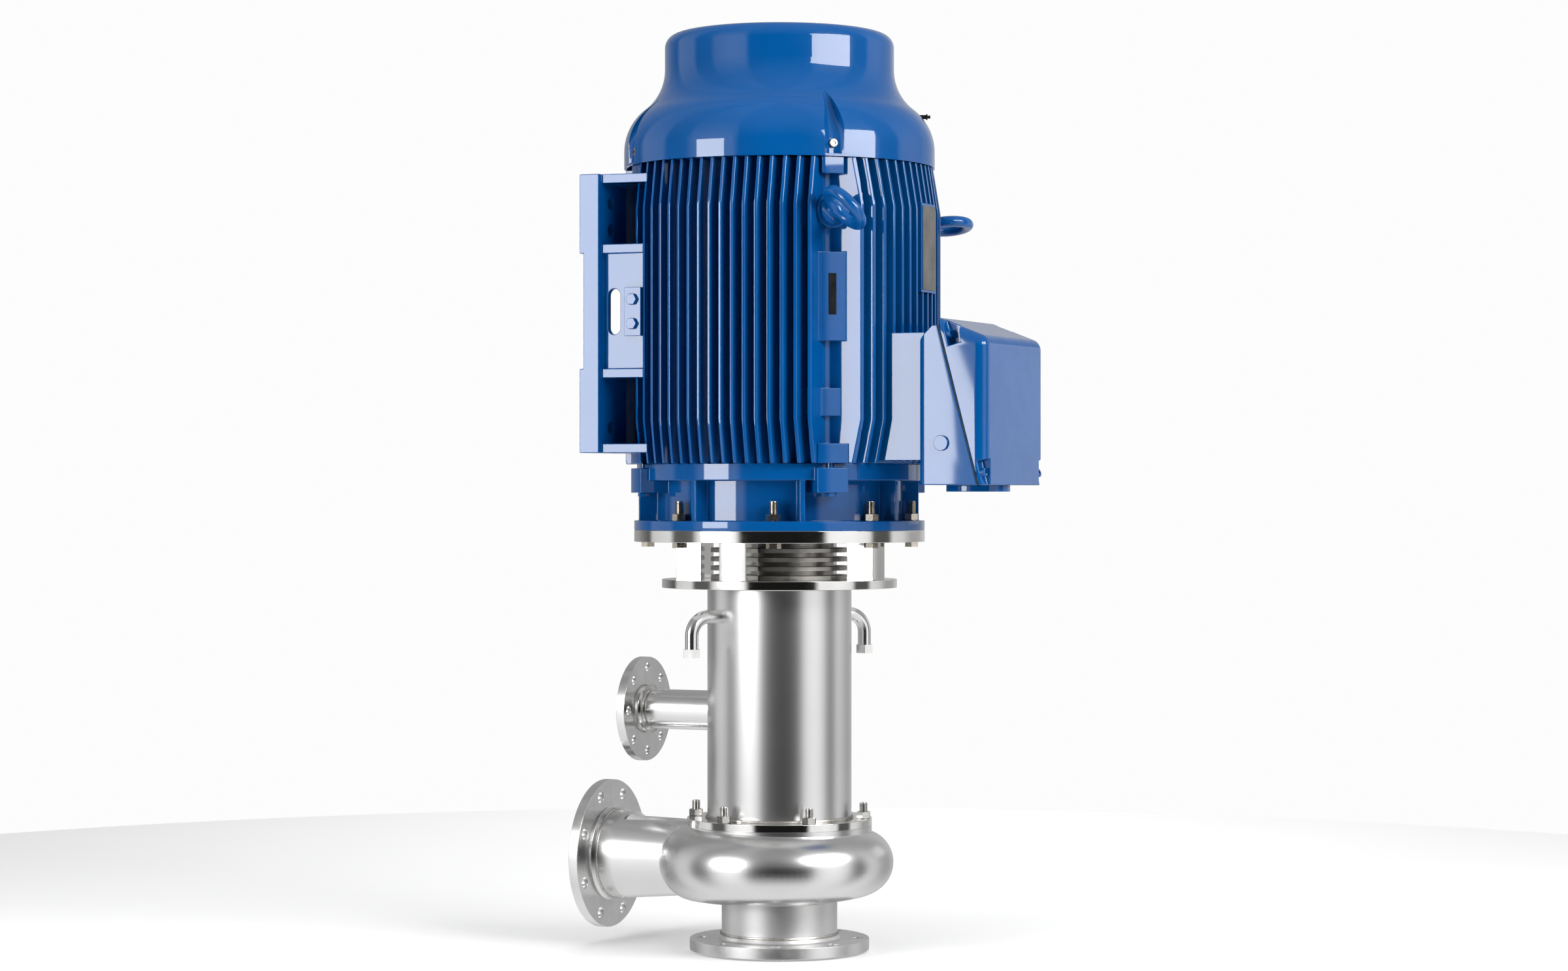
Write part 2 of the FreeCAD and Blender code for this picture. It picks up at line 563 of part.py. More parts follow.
def flange(label, kind, pipe_dia, pipe_wall, first_angle):
    # A welded flange with its face at height 0 and its neck pointing up.
    bore = f"({pipe_dia}) / 2 - {pipe_wall}"
    neck = f"({pipe_dia}) / 2"
    body = turned(label, [
        (bore, "0"),
        (f"{kind}_face_dia / 2", "0"),
        (f"{kind}_face_dia / 2", "raised_face"),
        (f"{kind}_flange_dia / 2", "raised_face"),
        (f"{kind}_flange_dia / 2", f"{kind}_flange_thick"),
        (f"{neck} + weld_neck_rise", f"{kind}_flange_thick"),
        (neck, f"{kind}_flange_thick + weld_neck"),
        (bore, f"{kind}_flange_thick + weld_neck"),
    ])
    return drilled(body, f"{kind}_bolt_hole", f"{kind}_bolt_circle", f"{kind}_bolt_count", first_angle)


def place_sideways(body, reach, height):
    # Turn a flange so that its face points along -X at the given reach.
    body.Placement = Placement(ZERO, Rotation(Vector(0, 1, 0), 90))
    body.setExpression("Placement.Base.x", formula(f"-{reach}"))
    body.setExpression("Placement.Base.z", formula(height))


flange("suction_flange", "suction", "suction_pipe_dia", "suction_pipe_wall", "180 / suction_bolt_count")
discharge = flange("discharge_flange", "discharge", "discharge_pipe_dia", "casing_wall",
                   "180 / discharge_bolt_count")
place_sideways(discharge, "discharge_reach", "volute_height")
branch = flange("branch_flange", "branch", "branch_pipe_dia", "branch_pipe_wall", "0")
place_sideways(branch, "branch_reach", "volute_height + casing_rise + branch_rise")


# Volute casing

suction_seam = v.volute_height - v.suction_seam_drop
casing_top = v.volute_height + v.casing_rise
discharge_weld = -v.discharge_reach + v.discharge_flange_thick + v.weld_neck
column_foot_top = casing_top + v.column_foot_thick


def volute_radius(turned_by):
    if turned_by <= v.volute_grow_angle:
        share = turned_by / v.volute_grow_angle
        return v.volute_start_radius + share * (v.volute_end_radius - v.volute_start_radius)
    share = (turned_by - v.volute_grow_angle) / v.volute_close_angle
    return v.volute_end_radius + share * (v.volute_close_radius - v.volute_end_radius)


def volute_tube(wall):
    # Round sections that grow around the casing, then shrink into the nozzle.
    sections = []
    for turned_by in [i * v.volute_grow_angle / 13 for i in range(14)] + [
            v.volute_grow_angle + v.volute_close_angle * share for share in (0.5, 1.0)]:
        azimuth = v.volute_tongue_angle - turned_by
        centre = polar(volute_ring_radius, azimuth, v.volute_height)
        circle = Part.Circle(centre, polar(1, azimuth + 90), volute_radius(turned_by) - wall)
        sections.append(Part.Wire(circle.toShape()))
    return Part.makeLoft(sections, True, False)


def nozzle(wall, end):
    # The discharge cone and the short pipe up to the flange.
    middle = Vector(0, 0, v.volute_height)
    start = middle + Vector(-v.nozzle_throat_reach, 0, 0)
    cone = Part.makeCone(v.nozzle_throat_radius - wall, v.discharge_pipe_dia / 2 - wall,
                         v.nozzle_cone_reach - v.nozzle_throat_reach, start, Vector(-1, 0, 0))
    pipe = bar(middle + Vector(-v.nozzle_cone_reach, 0, 0), middle + Vector(end, 0, 0),
               v.discharge_pipe_dia / 2 - wall)
    return cone.fuse(pipe)


def beyond_seam():
    # The space on the discharge side of the nozzle's seam.
    return block((-v.discharge_reach, -v.discharge_pipe_dia, 0),
                 (-v.nozzle_seam_reach, v.discharge_pipe_dia, casing_top))


def volute_casing():
    outside = union([
        volute_tube(0),
        nozzle(0, discharge_weld),
        rod(volute_ring_radius, v.volute_height - v.casing_core_drop, casing_top),
        rod(flange_radius, casing_top - v.casing_flange_thick, casing_top),
        rod(v.suction_pipe_dia / 2, suction_seam, v.volute_height),
    ])
    outside = outside.cut(rod(volute_ring_radius * 2, casing_top, casing_top * 2)).cut(beyond_seam())
    recess_floor = casing_top - v.cover_recess_depth
    ceiling = casing_top - v.casing_flange_thick
    inside = [
        volute_tube(v.casing_wall).common(rod(volute_ring_radius * 2, 0, ceiling)),
        nozzle(v.casing_wall, discharge_weld - 1),
        rod(v.suction_pipe_dia / 2 - v.suction_pipe_wall, suction_seam - 1, v.volute_height),
        rod(chamber_radius, v.volute_height - v.chamber_drop, casing_top),
        rod(recess_radius, recess_floor, casing_top + 1),
    ]
    for hollow in inside:
        outside = outside.cut(hollow)
    stud_hole = rod(v.stud_dia / 2, casing_top - v.stud_depth, casing_top + 1,
                    Vector(stud_radius, 0, 0))
    return outside.cut(Part.makeCompound(around(stud_hole, v.stud_count, v.stud_first_angle)))


built("volute_casing", volute_casing())
built("discharge_nozzle", nozzle(0, discharge_weld).cut(nozzle(v.casing_wall, discharge_weld - 1)).common(
    beyond_seam()))


# Heights up the shaft, as formulas for the sheet and as numbers

CASING_TOP = "volute_height + casing_rise"
COLUMN_FOOT_TOP = CASING_TOP + " + column_foot_thick"
COLUMN_TOP = COLUMN_FOOT_TOP + " + column_length"
PLATE_TOP = COLUMN_TOP + " + plate_thick"
POSTS_TOP = PLATE_TOP + " + post_length"
MOTOR_BASE = POSTS_TOP + " + ring_thick"
SHIELD_TOP = MOTOR_BASE + " + shield_height"

column_top = column_foot_top + v.column_length
plate_top = column_top + v.plate_thick
posts_top = plate_top + v.post_length
motor_base = posts_top + v.ring_thick
flange_top = motor_base + v.motor_flange_thick
shield_top = motor_base + v.shield_height
frame_top = shield_top + v.frame_length


def raised(body, level):
    # Lift a body that is drawn from height 0.
    body.setExpression("Placement.Base.z", formula(level))
    return body


def plain_ring(label, inner, outer, thick, level):
    body = turned(label, [(inner, "0"), (outer, "0"), (outer, thick), (inner, thick)])
    return raised(body, level)


def primitive(kind, label, ties, turn=None):
    # A primitive whose sizes and place are tied to the sheet.
    item = doc.addObject("Part::" + kind, label)
    if turn:
        item.Placement = Placement(ZERO, turn)
    for name, text in ties.items():
        item.setExpression(name, formula(text))
    return item


def boolean(kind, label, base, tool):
    item = doc.addObject("Part::" + kind, label)
    item.Base = base
    item.Tool = tool
    return item


ALONG_X = Rotation(Vector(0, 1, 0), 90)
ALONG_Y = Rotation(Vector(1, 0, 0), -90)

# Casing parts

WEAR_RING_BOTTOM = "volute_height - impeller_eye_drop"
plain_ring("suction_pipe", "suction_pipe_dia / 2 - suction_pipe_wall", "suction_pipe_dia / 2",
           "volute_height - suction_seam_drop - suction_flange_thick - weld_neck",
           "suction_flange_thick + weld_neck")
plain_ring("suction_wear_ring", "impeller_eye_radius + wear_ring_gap",
           "suction_pipe_dia / 2 - suction_pipe_wall", "wear_ring_height", WEAR_RING_BOTTOM)
plain_ring("casing_gasket", CHAMBER_RADIUS, RECESS_RADIUS + " - side_gap", "gasket_thick",
           CASING_TOP + " - cover_recess_depth")

# The cover hangs into the chamber by its lip, with its underside just above the back vanes.
cover_drop = "casing_rise - impeller_outlet_rise - impeller_disc - back_vane_height - back_vane_gap"
cover = turned("casing_cover", [
    ("cover_bore_radius", "0"),
    (CHAMBER_RADIUS + " - side_gap", "0"),
    (CHAMBER_RADIUS + " - side_gap", f"{cover_drop} - cover_recess_depth + gasket_thick"),
    (RECESS_RADIUS + " - side_gap", f"{cover_drop} - cover_recess_depth + gasket_thick"),
    (RECESS_RADIUS + " - side_gap", cover_drop),
    ("cover_bore_radius", cover_drop),
])
raised(cover, CASING_TOP + f" - ({cover_drop})")

column_foot = turned("column_lower_flange", [
    ("cover_bore_radius + column_pipe_wall", "0"),
    (FLANGE_RADIUS, "0"),
    (FLANGE_RADIUS, "column_foot_thick"),
    ("cover_bore_radius + column_pipe_wall", "column_foot_thick"),
])
drilled(column_foot, "stud_dia + 2 * bolt_clearance", "2 * " + STUD_RADIUS, "stud_count", "stud_first_angle")
raised(column_foot, CASING_TOP)


# Column, side branch and gas pipes

BRANCH_HEIGHT = CASING_TOP + " + branch_rise"
GAS_PIPE_HEIGHT = COLUMN_TOP + " - gas_pipe_depth"
branch_height = casing_top + v.branch_rise
gas_pipe_height = column_top - v.gas_pipe_depth

column_outside = primitive("Cylinder", "column_outside", {
    "Radius": "column_pipe_dia / 2",
    "Height": "column_length",
    "Placement.Base.z": COLUMN_FOOT_TOP,
})
column_inside = primitive("Cylinder", "column_inside", {
    "Radius": "column_pipe_dia / 2 - column_pipe_wall",
    "Height": "column_length",
    "Placement.Base.z": COLUMN_FOOT_TOP,
})
branch_hole = primitive("Cylinder", "branch_hole", {
    "Radius": "branch_pipe_dia / 2",
    "Height": "column_pipe_dia",
    "Placement.Base.x": "-column_pipe_dia",
    "Placement.Base.z": BRANCH_HEIGHT,
}, ALONG_X)
gas_pipe_hole = primitive("Cylinder", "gas_pipe_hole", {
    "Radius": "gas_pipe_dia / 2",
    "Height": "2 * column_pipe_dia",
    "Placement.Base.x": "-column_pipe_dia * cos(gas_pipe_angle * 1 deg)",
    "Placement.Base.y": "-column_pipe_dia * sin(gas_pipe_angle * 1 deg)",
    "Placement.Base.z": GAS_PIPE_HEIGHT,
}, Rotation(UP, v.gas_pipe_angle).multiply(ALONG_X))
column_tube = boolean("Cut", "column_tube", column_outside, column_inside)
column_with_branch = boolean("Cut", "column_with_branch", column_tube, branch_hole)
nodes.append(boolean("Cut", "column_pipe", column_with_branch, gas_pipe_hole))


def branch_pipe():
    # From the column's bore to the neck of its flange, saddled to the column.
    start = Vector(0, 0, branch_height)
    end = Vector(-v.branch_reach + v.branch_flange_thick + v.weld_neck, 0, branch_height)
    outer = bar(start, end, v.branch_pipe_dia / 2)
    inner = bar(start, end + Vector(-1, 0, 0), v.branch_pipe_dia / 2 - v.branch_pipe_wall)
    column_bore = rod(v.column_pipe_dia / 2 - v.column_pipe_wall, column_foot_top, column_top)
    return outer.cut(inner).cut(column_bore)


def gas_pipe():
    # Level out of the column, then a bend down to the union.
    start = Vector(v.column_pipe_dia / 2 - v.column_pipe_wall - 2, 0, gas_pipe_height)
    bend_start = Vector(v.gas_pipe_reach - v.gas_pipe_bend, 0, gas_pipe_height)
    slant = v.gas_pipe_bend * math.sqrt(0.5)
    bend_middle = bend_start + Vector(slant, 0, slant - v.gas_pipe_bend)
    bend_end = bend_start + Vector(v.gas_pipe_bend, 0, -v.gas_pipe_bend)
    end = Vector(v.gas_pipe_reach, 0, gas_pipe_height - v.gas_pipe_drop)
    path = Part.Wire([
        Part.LineSegment(start, bend_start).toShape(),
        Part.Arc(bend_start, bend_middle, bend_end).toShape(),
        Part.LineSegment(bend_end, end).toShape(),
    ])

    def swept(radius):
        profile = Part.Wire(Part.Circle(start, Vector(1, 0, 0), radius).toShape())
        return path.makePipeShell([profile], True, False)
    return swept(v.gas_pipe_dia / 2).cut(swept(v.gas_pipe_dia / 2 - v.gas_pipe_wall))


def union_ring():
    # A collar with a hexagon at the foot of a gas pipe.
    end = gas_pipe_height - v.gas_pipe_drop
    middle = Vector(v.gas_pipe_reach, 0, 0)
    nut = hexagon(v.union_dia, end - v.union_length, end, middle)
    return nut.cut(rod(v.gas_pipe_dia / 2 - v.gas_pipe_wall, end - v.union_length - 1, end + 1, middle))


built("branch_pipe", branch_pipe())
built("gas_pipes", Part.makeCompound(around(gas_pipe(), 2, v.gas_pipe_angle)))
built("gas_pipe_unions", Part.makeCompound(around(union_ring(), 2, v.gas_pipe_angle)))


# Casing studs and their nuts

def casing_studs():
    middle = Vector(stud_radius, 0, 0)
    stud = rod(v.stud_dia / 2, casing_top - v.stud_depth, column_foot_top + v.stud_above, middle)
    return Part.makeCompound(around(stud, v.stud_count, v.stud_first_angle))


def casing_nuts():
    middle = Vector(stud_radius, 0, 0)
    nut = hexagon(v.stud_nut_width, column_foot_top, column_foot_top + v.stud_nut_thick, middle)
    nut = nut.cut(rod(v.stud_dia / 2, column_foot_top - 1, column_foot_top + v.stud_nut_thick + 1, middle))
    return Part.makeCompound(around(nut, v.stud_count, v.stud_first_angle))


built("casing_studs", casing_studs())
built("casing_nuts", casing_nuts())


# Lantern

plain_ring("lantern_plate", "plate_bore / 2", "plate_dia / 2", "plate_thick", COLUMN_TOP)


def lantern_posts():
    # Square posts whose outer faces follow the lantern's round.
    post = block((v.post_outer_radius - v.post_depth, -v.post_width / 2, plate_top),
                 (v.post_outer_radius + 1, v.post_width / 2, posts_top))
    post = post.common(rod(v.post_outer_radius, plate_top, posts_top))
    return Part.makeCompound(around(post, v.post_count))


built("lantern_posts", lantern_posts())
lantern_ring = turned("lantern_ring", [
    ("ring_bore / 2", "0"),
    ("ring_dia / 2", "0"),
    ("ring_dia / 2", "ring_thick"),
    ("spigot_dia / 2 + spigot_gap", "ring_thick"),
    ("spigot_dia / 2 + spigot_gap", "ring_thick - spigot_height - side_gap"),
    ("ring_bore / 2", "ring_thick - spigot_height - side_gap"),
])
drilled(lantern_ring, "motor_bolt_hole", "motor_bolt_circle", "motor_bolt_count", "180 / motor_bolt_count")
raised(lantern_ring, POSTS_TOP)


# Bearing housing on the lantern plate, with cooling discs

def housing_outline():
    bearing_start = "pump_bearing_start"
    bearing_end = "pump_bearing_start + pump_bearing_width"
    top = f"{bearing_end} + housing_cover_seat"
    points = [("bore_lip_radius", "0"), ("housing_fin_radius", "0")]
    for disc in range(int(v.housing_fin_count)):
        low = f"{disc} * housing_fin_pitch"
        if disc:
            points.append(("housing_hub_radius", low))
            points.append(("housing_fin_radius", low))
        points.append(("housing_fin_radius", f"{low} + housing_fin_thick"))
        points.append(("housing_hub_radius", f"{low} + housing_fin_thick"))
    return points + [
        ("housing_hub_radius", top),
        ("bearing_outer_radius", top),
        ("bearing_outer_radius", bearing_start),
        ("bore_lip_radius", bearing_start),
    ]


raised(turned("bearing_housing", housing_outline()), PLATE_TOP)
housing_cover = turned("bearing_housing_cover", [
    ("bore_lip_radius", "0"),
    ("bearing_outer_radius - side_gap", "0"),
    ("bearing_outer_radius - side_gap", "housing_cover_seat"),
    ("housing_hub_radius", "housing_cover_seat"),
    ("housing_hub_radius", "housing_cover_seat + housing_cover_thick"),
    ("bore_lip_radius", "housing_cover_seat + housing_cover_thick"),
])
raised(housing_cover, PLATE_TOP + " + pump_bearing_start + pump_bearing_width")


# Bearings: inner rings turn with the shaft, outer rings stay, rollers run between them

drive_bearing_bottom = motor_base + v.drive_bearing_start
rear_bearing_bottom = frame_top + v.rear_bearing_start
pump_bearing_bottom = plate_top + v.pump_bearing_start
motor_bearing_bottoms = (drive_bearing_bottom, rear_bearing_bottom)


def roller_set(inner_radius, race, width, count, bottom):
    # Rollers side by side, held in a ring-shaped cage.
    inside = inner_radius + race + v.roller_gap
    outside = v.bearing_outer_radius - race - v.roller_gap
    middle = (inside + outside) / 2
    radius = (outside - inside) / 2
    low = bottom + v.roller_inset
    high = bottom + width - v.roller_inset
    roller = rod(radius, low, high, Vector(middle, 0, 0))
    cage = ring(middle - radius * v.cage_share, middle + radius * v.cage_share,
                low + v.cage_inset, high - v.cage_inset)
    return union([cage] + around(roller, count))


def motor_rings(inner, outer, offset, thick):
    return Part.makeCompound([ring(inner, outer, bottom + offset, bottom + offset + thick)
                              for bottom in motor_bearing_bottoms])


built("motor_bearing_inner_rings", motor_rings(v.journal_radius, v.journal_radius + v.bearing_race,
                                               0, v.bearing_width))
built("motor_bearing_outer_rings", motor_rings(v.bearing_outer_radius - v.bearing_race,
                                               v.bearing_outer_radius, 0, v.bearing_width))
built("drive_end_rollers", roller_set(v.journal_radius, v.bearing_race, v.bearing_width,
                                      v.roller_count, drive_bearing_bottom))
built("rear_end_rollers", roller_set(v.journal_radius, v.bearing_race, v.bearing_width,
                                     v.roller_count, rear_bearing_bottom))
built("pump_rollers", roller_set(v.sleeve_radius, v.pump_race, v.pump_bearing_width,
                                 v.pump_roller_count, pump_bearing_bottom))
plain_ring("pump_bearing_inner_ring", "sleeve_radius", "sleeve_radius + pump_race",
           "pump_bearing_width", PLATE_TOP + " + pump_bearing_start")
plain_ring("pump_bearing_outer_ring", "bearing_outer_radius - pump_race", "bearing_outer_radius",
           "pump_bearing_width", PLATE_TOP + " + pump_bearing_start")
cap_low = rear_bearing_bottom - v.cap_thick
cap_high = drive_bearing_bottom + v.bearing_width
built("motor_bearing_caps", Part.makeCompound([
    ring(v.shaft_core_radius + v.shaft_gap, v.shield_hub_radius, bottom, bottom + v.cap_thick)
    for bottom in (cap_low, cap_high)
]))


# Rotor

STATOR_BOTTOM = MOTOR_BASE + " + stator_start"
stator_bottom = motor_base + v.stator_start
stator_top = stator_bottom + v.stator_length
plain_ring("rotor_core", "shaft_core_radius", "stator_bore_radius - air_gap", "stator_length", STATOR_BOTTOM)


def rotor_end_rings():
    rings = []
    for bottom in (stator_bottom - v.end_ring_length, stator_top):
        rings.append(ring(v.end_ring_inner_radius, v.stator_bore_radius - v.air_gap,
                          bottom, bottom + v.end_ring_length))
    return Part.makeCompound(rings)


built("rotor_end_rings", rotor_end_rings())
shaft_end = "shield_height + frame_length + fan_start + fan_hub_height"
rear_seat = "extension_length + shield_height + frame_length + rear_bearing_start"
motor_shaft = turned("motor_shaft", [
    ("0", "0"),
    ("extension_radius", "0"),
    ("extension_radius", "extension_length"),
    ("journal_radius", "extension_length"),
    ("journal_radius", "extension_length + drive_bearing_start + bearing_width"),
    ("shaft_core_radius", "extension_length + drive_bearing_start + bearing_width"),
    ("shaft_core_radius", rear_seat),
    ("journal_radius", rear_seat),
    ("journal_radius", rear_seat + " + bearing_width"),
    ("fan_seat_radius", rear_seat + " + bearing_width"),
    ("fan_seat_radius", f"extension_length + {shaft_end}"),
    ("0", f"extension_length + {shaft_end}"),
])
raised(motor_shaft, MOTOR_BASE + " - extension_length")

# The pump shaft's head is bored for the motor shaft and carries the pump bearing.
head_top = MOTOR_BASE + " - sleeve_gap - volute_height"
head_bottom = f"{head_top} - sleeve_length"
pump_shaft = turned("pump_shaft", [
    ("0", "-impeller_seat_drop"),
    ("impeller_seat_radius", "-impeller_seat_drop"),
    ("impeller_seat_radius", "shoulder_rise"),
    ("pump_shaft_radius", "shoulder_rise"),
    ("pump_shaft_radius", f"{head_bottom} - sleeve_taper"),
    ("sleeve_radius", head_bottom),
    ("sleeve_radius", head_top),
    ("extension_radius", head_top),
    ("extension_radius", MOTOR_BASE + " - extension_length - volute_height - side_gap"),
    ("0", MOTOR_BASE + " - extension_length - volute_height - side_gap"),
])
raised(pump_shaft, "volute_height")


# Keys, and the shafts with their keyways

def key(label, shaft_radius, width, height, length, level):
    return primitive("Box", label, {
        "Length": height,
        "Width": width,
        "Height": length,
        "Placement.Base.x": f"{shaft_radius} - ({height}) * key_sink",
        "Placement.Base.y": f"-{width} / 2",
        "Placement.Base.z": level,
    })


def keyed(body, tool):
    # Give a turned shaft its keyway.
    label = body.Label
    nodes.remove(body)
    body.Label = label + "_blank"
    cut = boolean("Cut", label + "_keyed", body, tool)
    cut.Label = label
    nodes.append(cut)
    return cut


coupling_key = key("coupling_key", "extension_radius", "coupling_key_width", "coupling_key_height",
                   "coupling_key_length", MOTOR_BASE + " - sleeve_gap - key_end_gap - coupling_key_length")
impeller_key = key("impeller_key", "impeller_seat_radius", "impeller_key_width", "impeller_key_height",
                   "impeller_key_length", "volute_height + shoulder_rise - key_end_gap - impeller_key_length")
keyed(motor_shaft, coupling_key)
keyed(keyed(pump_shaft, coupling_key), impeller_key)
keys = doc.addObject("Part::Compound", "shaft_keys")
keys.Links = [coupling_key, impeller_key]
nodes.append(keys)
doc.recompute()


# Impeller

middle_height = v.volute_height
outlet_low = middle_height - v.impeller_outlet_drop
outlet_high = middle_height + v.impeller_outlet_rise
disc_top = outlet_high + v.impeller_disc
hub_bottom = middle_height - v.impeller_seat_drop + v.impeller_nut_height


def impeller_vane():
    # One backward curved vane, an arc in plan, trimmed to the passage between the discs.
    inner = polar(v.impeller_hub_radius, 0)
    outer = polar(impeller_radius, -v.vane_wrap)
    bulge = polar((v.impeller_hub_radius + impeller_radius) * 0.5, -v.vane_wrap * v.vane_bulge)
    mean = Part.Arc(inner, bulge, outer).toShape()
    line = Part.Wire([mean])
    plan = line.makeOffset2D(v.impeller_vane_thick / 2, 0, False, True, True)
    face = Part.Face([wire for wire in plan.Wires][0])
    face.translate(Vector(0, 0, middle_height - v.impeller_eye_drop))
    return face.extrude(Vector(0, 0, v.impeller_eye_drop + v.impeller_outlet_rise + 1))


def impeller():
    eye = v.impeller_eye_radius
    eye_bottom = middle_height - v.impeller_eye_drop
    front_disc = lathe([
        (eye - v.impeller_disc, eye_bottom),
        (eye, eye_bottom),
        (eye, eye_bottom + v.wear_ring_height),
        (impeller_radius, outlet_low - v.impeller_disc / 2),
        (impeller_radius, outlet_low),
        (eye - v.impeller_disc, eye_bottom + v.wear_ring_height + v.impeller_disc),
    ])
    hub = lathe([
        (v.impeller_seat_radius, hub_bottom),
        (v.impeller_nose_radius, hub_bottom),
        (v.impeller_hub_radius, outlet_high - v.impeller_disc),
        (impeller_radius, outlet_high),
        (impeller_radius, disc_top),
        (v.impeller_hub_radius, disc_top),
        (v.impeller_hub_radius, middle_height + v.shoulder_rise),
        (v.impeller_seat_radius, middle_height + v.shoulder_rise),
    ])
    passage = lathe([
        (v.impeller_nose_radius - 1, hub_bottom),
        (eye - v.impeller_disc / 2, eye_bottom + v.wear_ring_height),
        (impeller_radius, outlet_low - v.impeller_disc / 4),
        (impeller_radius, outlet_high + v.impeller_disc / 2),
        (v.impeller_nose_radius - 1, outlet_high),
    ])
    vanes = [vane.common(passage) for vane in around(impeller_vane(), v.impeller_vane_count)]
    back_vane = block((v.impeller_hub_radius - 1, -v.impeller_vane_thick / 2, disc_top - 1),
                      (impeller_radius, v.impeller_vane_thick / 2, disc_top + v.back_vane_height))
    back_vane = back_vane.common(rod(impeller_radius, 0, casing_top))
    wheel = union([front_disc, hub] + vanes + around(back_vane, v.back_vane_count))
    return wheel.cut(impeller_key.Shape)


built("impeller", impeller())
impeller_nut = turned("impeller_nut", [
    ("impeller_seat_radius", "impeller_nut_height"),
    ("impeller_seat_radius", "0"),
    ("0", "0"),
    ("0", "-impeller_nut_dome"),
    ("impeller_nut_radius * 0.6", "-impeller_nut_dome * 0.7"),
    ("impeller_nut_radius", "0"),
    ("impeller_nut_radius", "impeller_nut_height"),
])
raised(impeller_nut, "volute_height - impeller_seat_drop")


# Drive end shield, with the motor's flange

register_outer = v.register_radius - v.side_gap


def drilled_ring(radius, circle_radius, count, first_angle, bottom, top):
    hole = rod(radius, bottom - 1, top + 1, Vector(circle_radius, 0, 0))
    return Part.makeCompound(around(hole, count, first_angle))


def corner(reach, width, bottom, top, inner):
    # A boss that stands out at 45 degrees, rounded on its outer edges.
    boss = block((inner, -width / 2, bottom), (reach, width / 2, top))
    return boss.common(rod(reach, bottom, top))


def drive_end_shield():
    bearing_top = drive_bearing_bottom + v.bearing_width
    floor = drive_bearing_bottom
    rim_bottom = shield_top - v.shield_rim_height
    drum_inner = v.shield_drum_radius - v.shield_wall
    spigot_inner = v.spigot_dia / 2 - v.shield_wall
    shell = lathe([
        (v.bore_lip_radius, motor_base),
        (spigot_inner, motor_base),
        (spigot_inner, motor_base - v.spigot_height),
        (v.spigot_dia / 2, motor_base - v.spigot_height),
        (v.spigot_dia / 2, motor_base),
        (v.motor_flange_dia / 2, motor_base),
        (v.motor_flange_dia / 2, flange_top),
        (v.shield_drum_radius, flange_top),
        (v.shield_drum_radius, rim_bottom),
        (v.shield_rim_radius, rim_bottom),
        (v.shield_rim_radius, shield_top),
        (register_outer, shield_top),
        (register_outer, shield_top + v.register_depth),
        (register_outer - v.shield_wall, shield_top + v.register_depth),
        (drum_inner, shield_top - v.shield_rim_height),
        (drum_inner, flange_top + v.shield_wall),
        (v.shield_hub_radius, floor + v.shield_wall),
        (v.shield_hub_radius, bearing_top),
        (v.bearing_outer_radius, bearing_top),
        (v.bearing_outer_radius, floor),
        (v.bore_lip_radius, floor),
    ])
    web = block((v.shield_drum_radius - 2, -v.shield_web_thick / 2, flange_top - 1),
                (v.shield_rim_radius - 2, v.shield_web_thick / 2, rim_bottom + 1))
    boss = corner(v.corner_radius, v.corner_width, shield_top - v.corner_drop,
                  shield_top - v.corner_gap, v.shield_drum_radius - 2)
    shield = union([shell] + around(web, v.shield_web_count, v.shield_web_angle) + around(boss, 4, 45))
    holes = drilled_ring(v.motor_bolt_hole / 2, v.motor_bolt_circle / 2, v.motor_bolt_count,
                         180 / v.motor_bolt_count, motor_base, flange_top)
    screws = drilled_ring(v.screw_dia / 2 + v.side_gap, v.shield_screw_radius, 4, 45,
                          shield_top - v.corner_drop, shield_top)
    return shield.cut(holes).cut(screws)


built("drive_end_shield", drive_end_shield())


# Motor frame

def fin_boxes():
    # Straight fins, parallel within each quadrant; those between the feet are short.
    fins = []
    for quadrant in (0, 90, 180, 270):
        between_feet = quadrant == 180
        side_count = int(v.back_fin_count if between_feet else v.fin_side_count)
        reach = v.fin_tip_radius - v.back_fin_set if between_feet else v.fin_tip_radius
        for i in range(-side_count, side_count + 1):
            offset = i * v.fin_pitch
            edge = abs(offset) + v.fin_thick / 2
            foot = math.sqrt(v.frame_core_radius ** 2 - edge ** 2) - 3
            fin = block((foot, offset - v.fin_thick / 2, shield_top),
                        (reach, offset + v.fin_thick / 2, frame_top))
            fin.rotate(ZERO, UP, quadrant)
            fins.append(fin)
    return fins


def finned_barrel():
    envelope = lathe([
        (v.frame_bore_radius - 1, shield_top),
        (v.fin_tip_radius - v.fin_taper, shield_top),
        (v.fin_tip_radius, shield_top + v.fin_bottom_taper),
        (v.fin_tip_radius, frame_top - v.fin_top_taper),
        (v.fin_tip_radius - v.fin_taper, frame_top),
        (v.frame_bore_radius - 1, frame_top),
    ])
    fins = Part.makeCompound(fin_boxes()).common(envelope)
    core = rod(v.frame_core_radius, shield_top, frame_top)
    return core.multiFuse(fins.Solids)


foot_bottom = motor_base + v.foot_start
foot_top = foot_bottom + v.foot_length
low_pad_top = foot_bottom + v.foot_low_pad
high_pad_bottom = foot_top - v.foot_high_pad
foot_back = -v.foot_reach + v.foot_thick


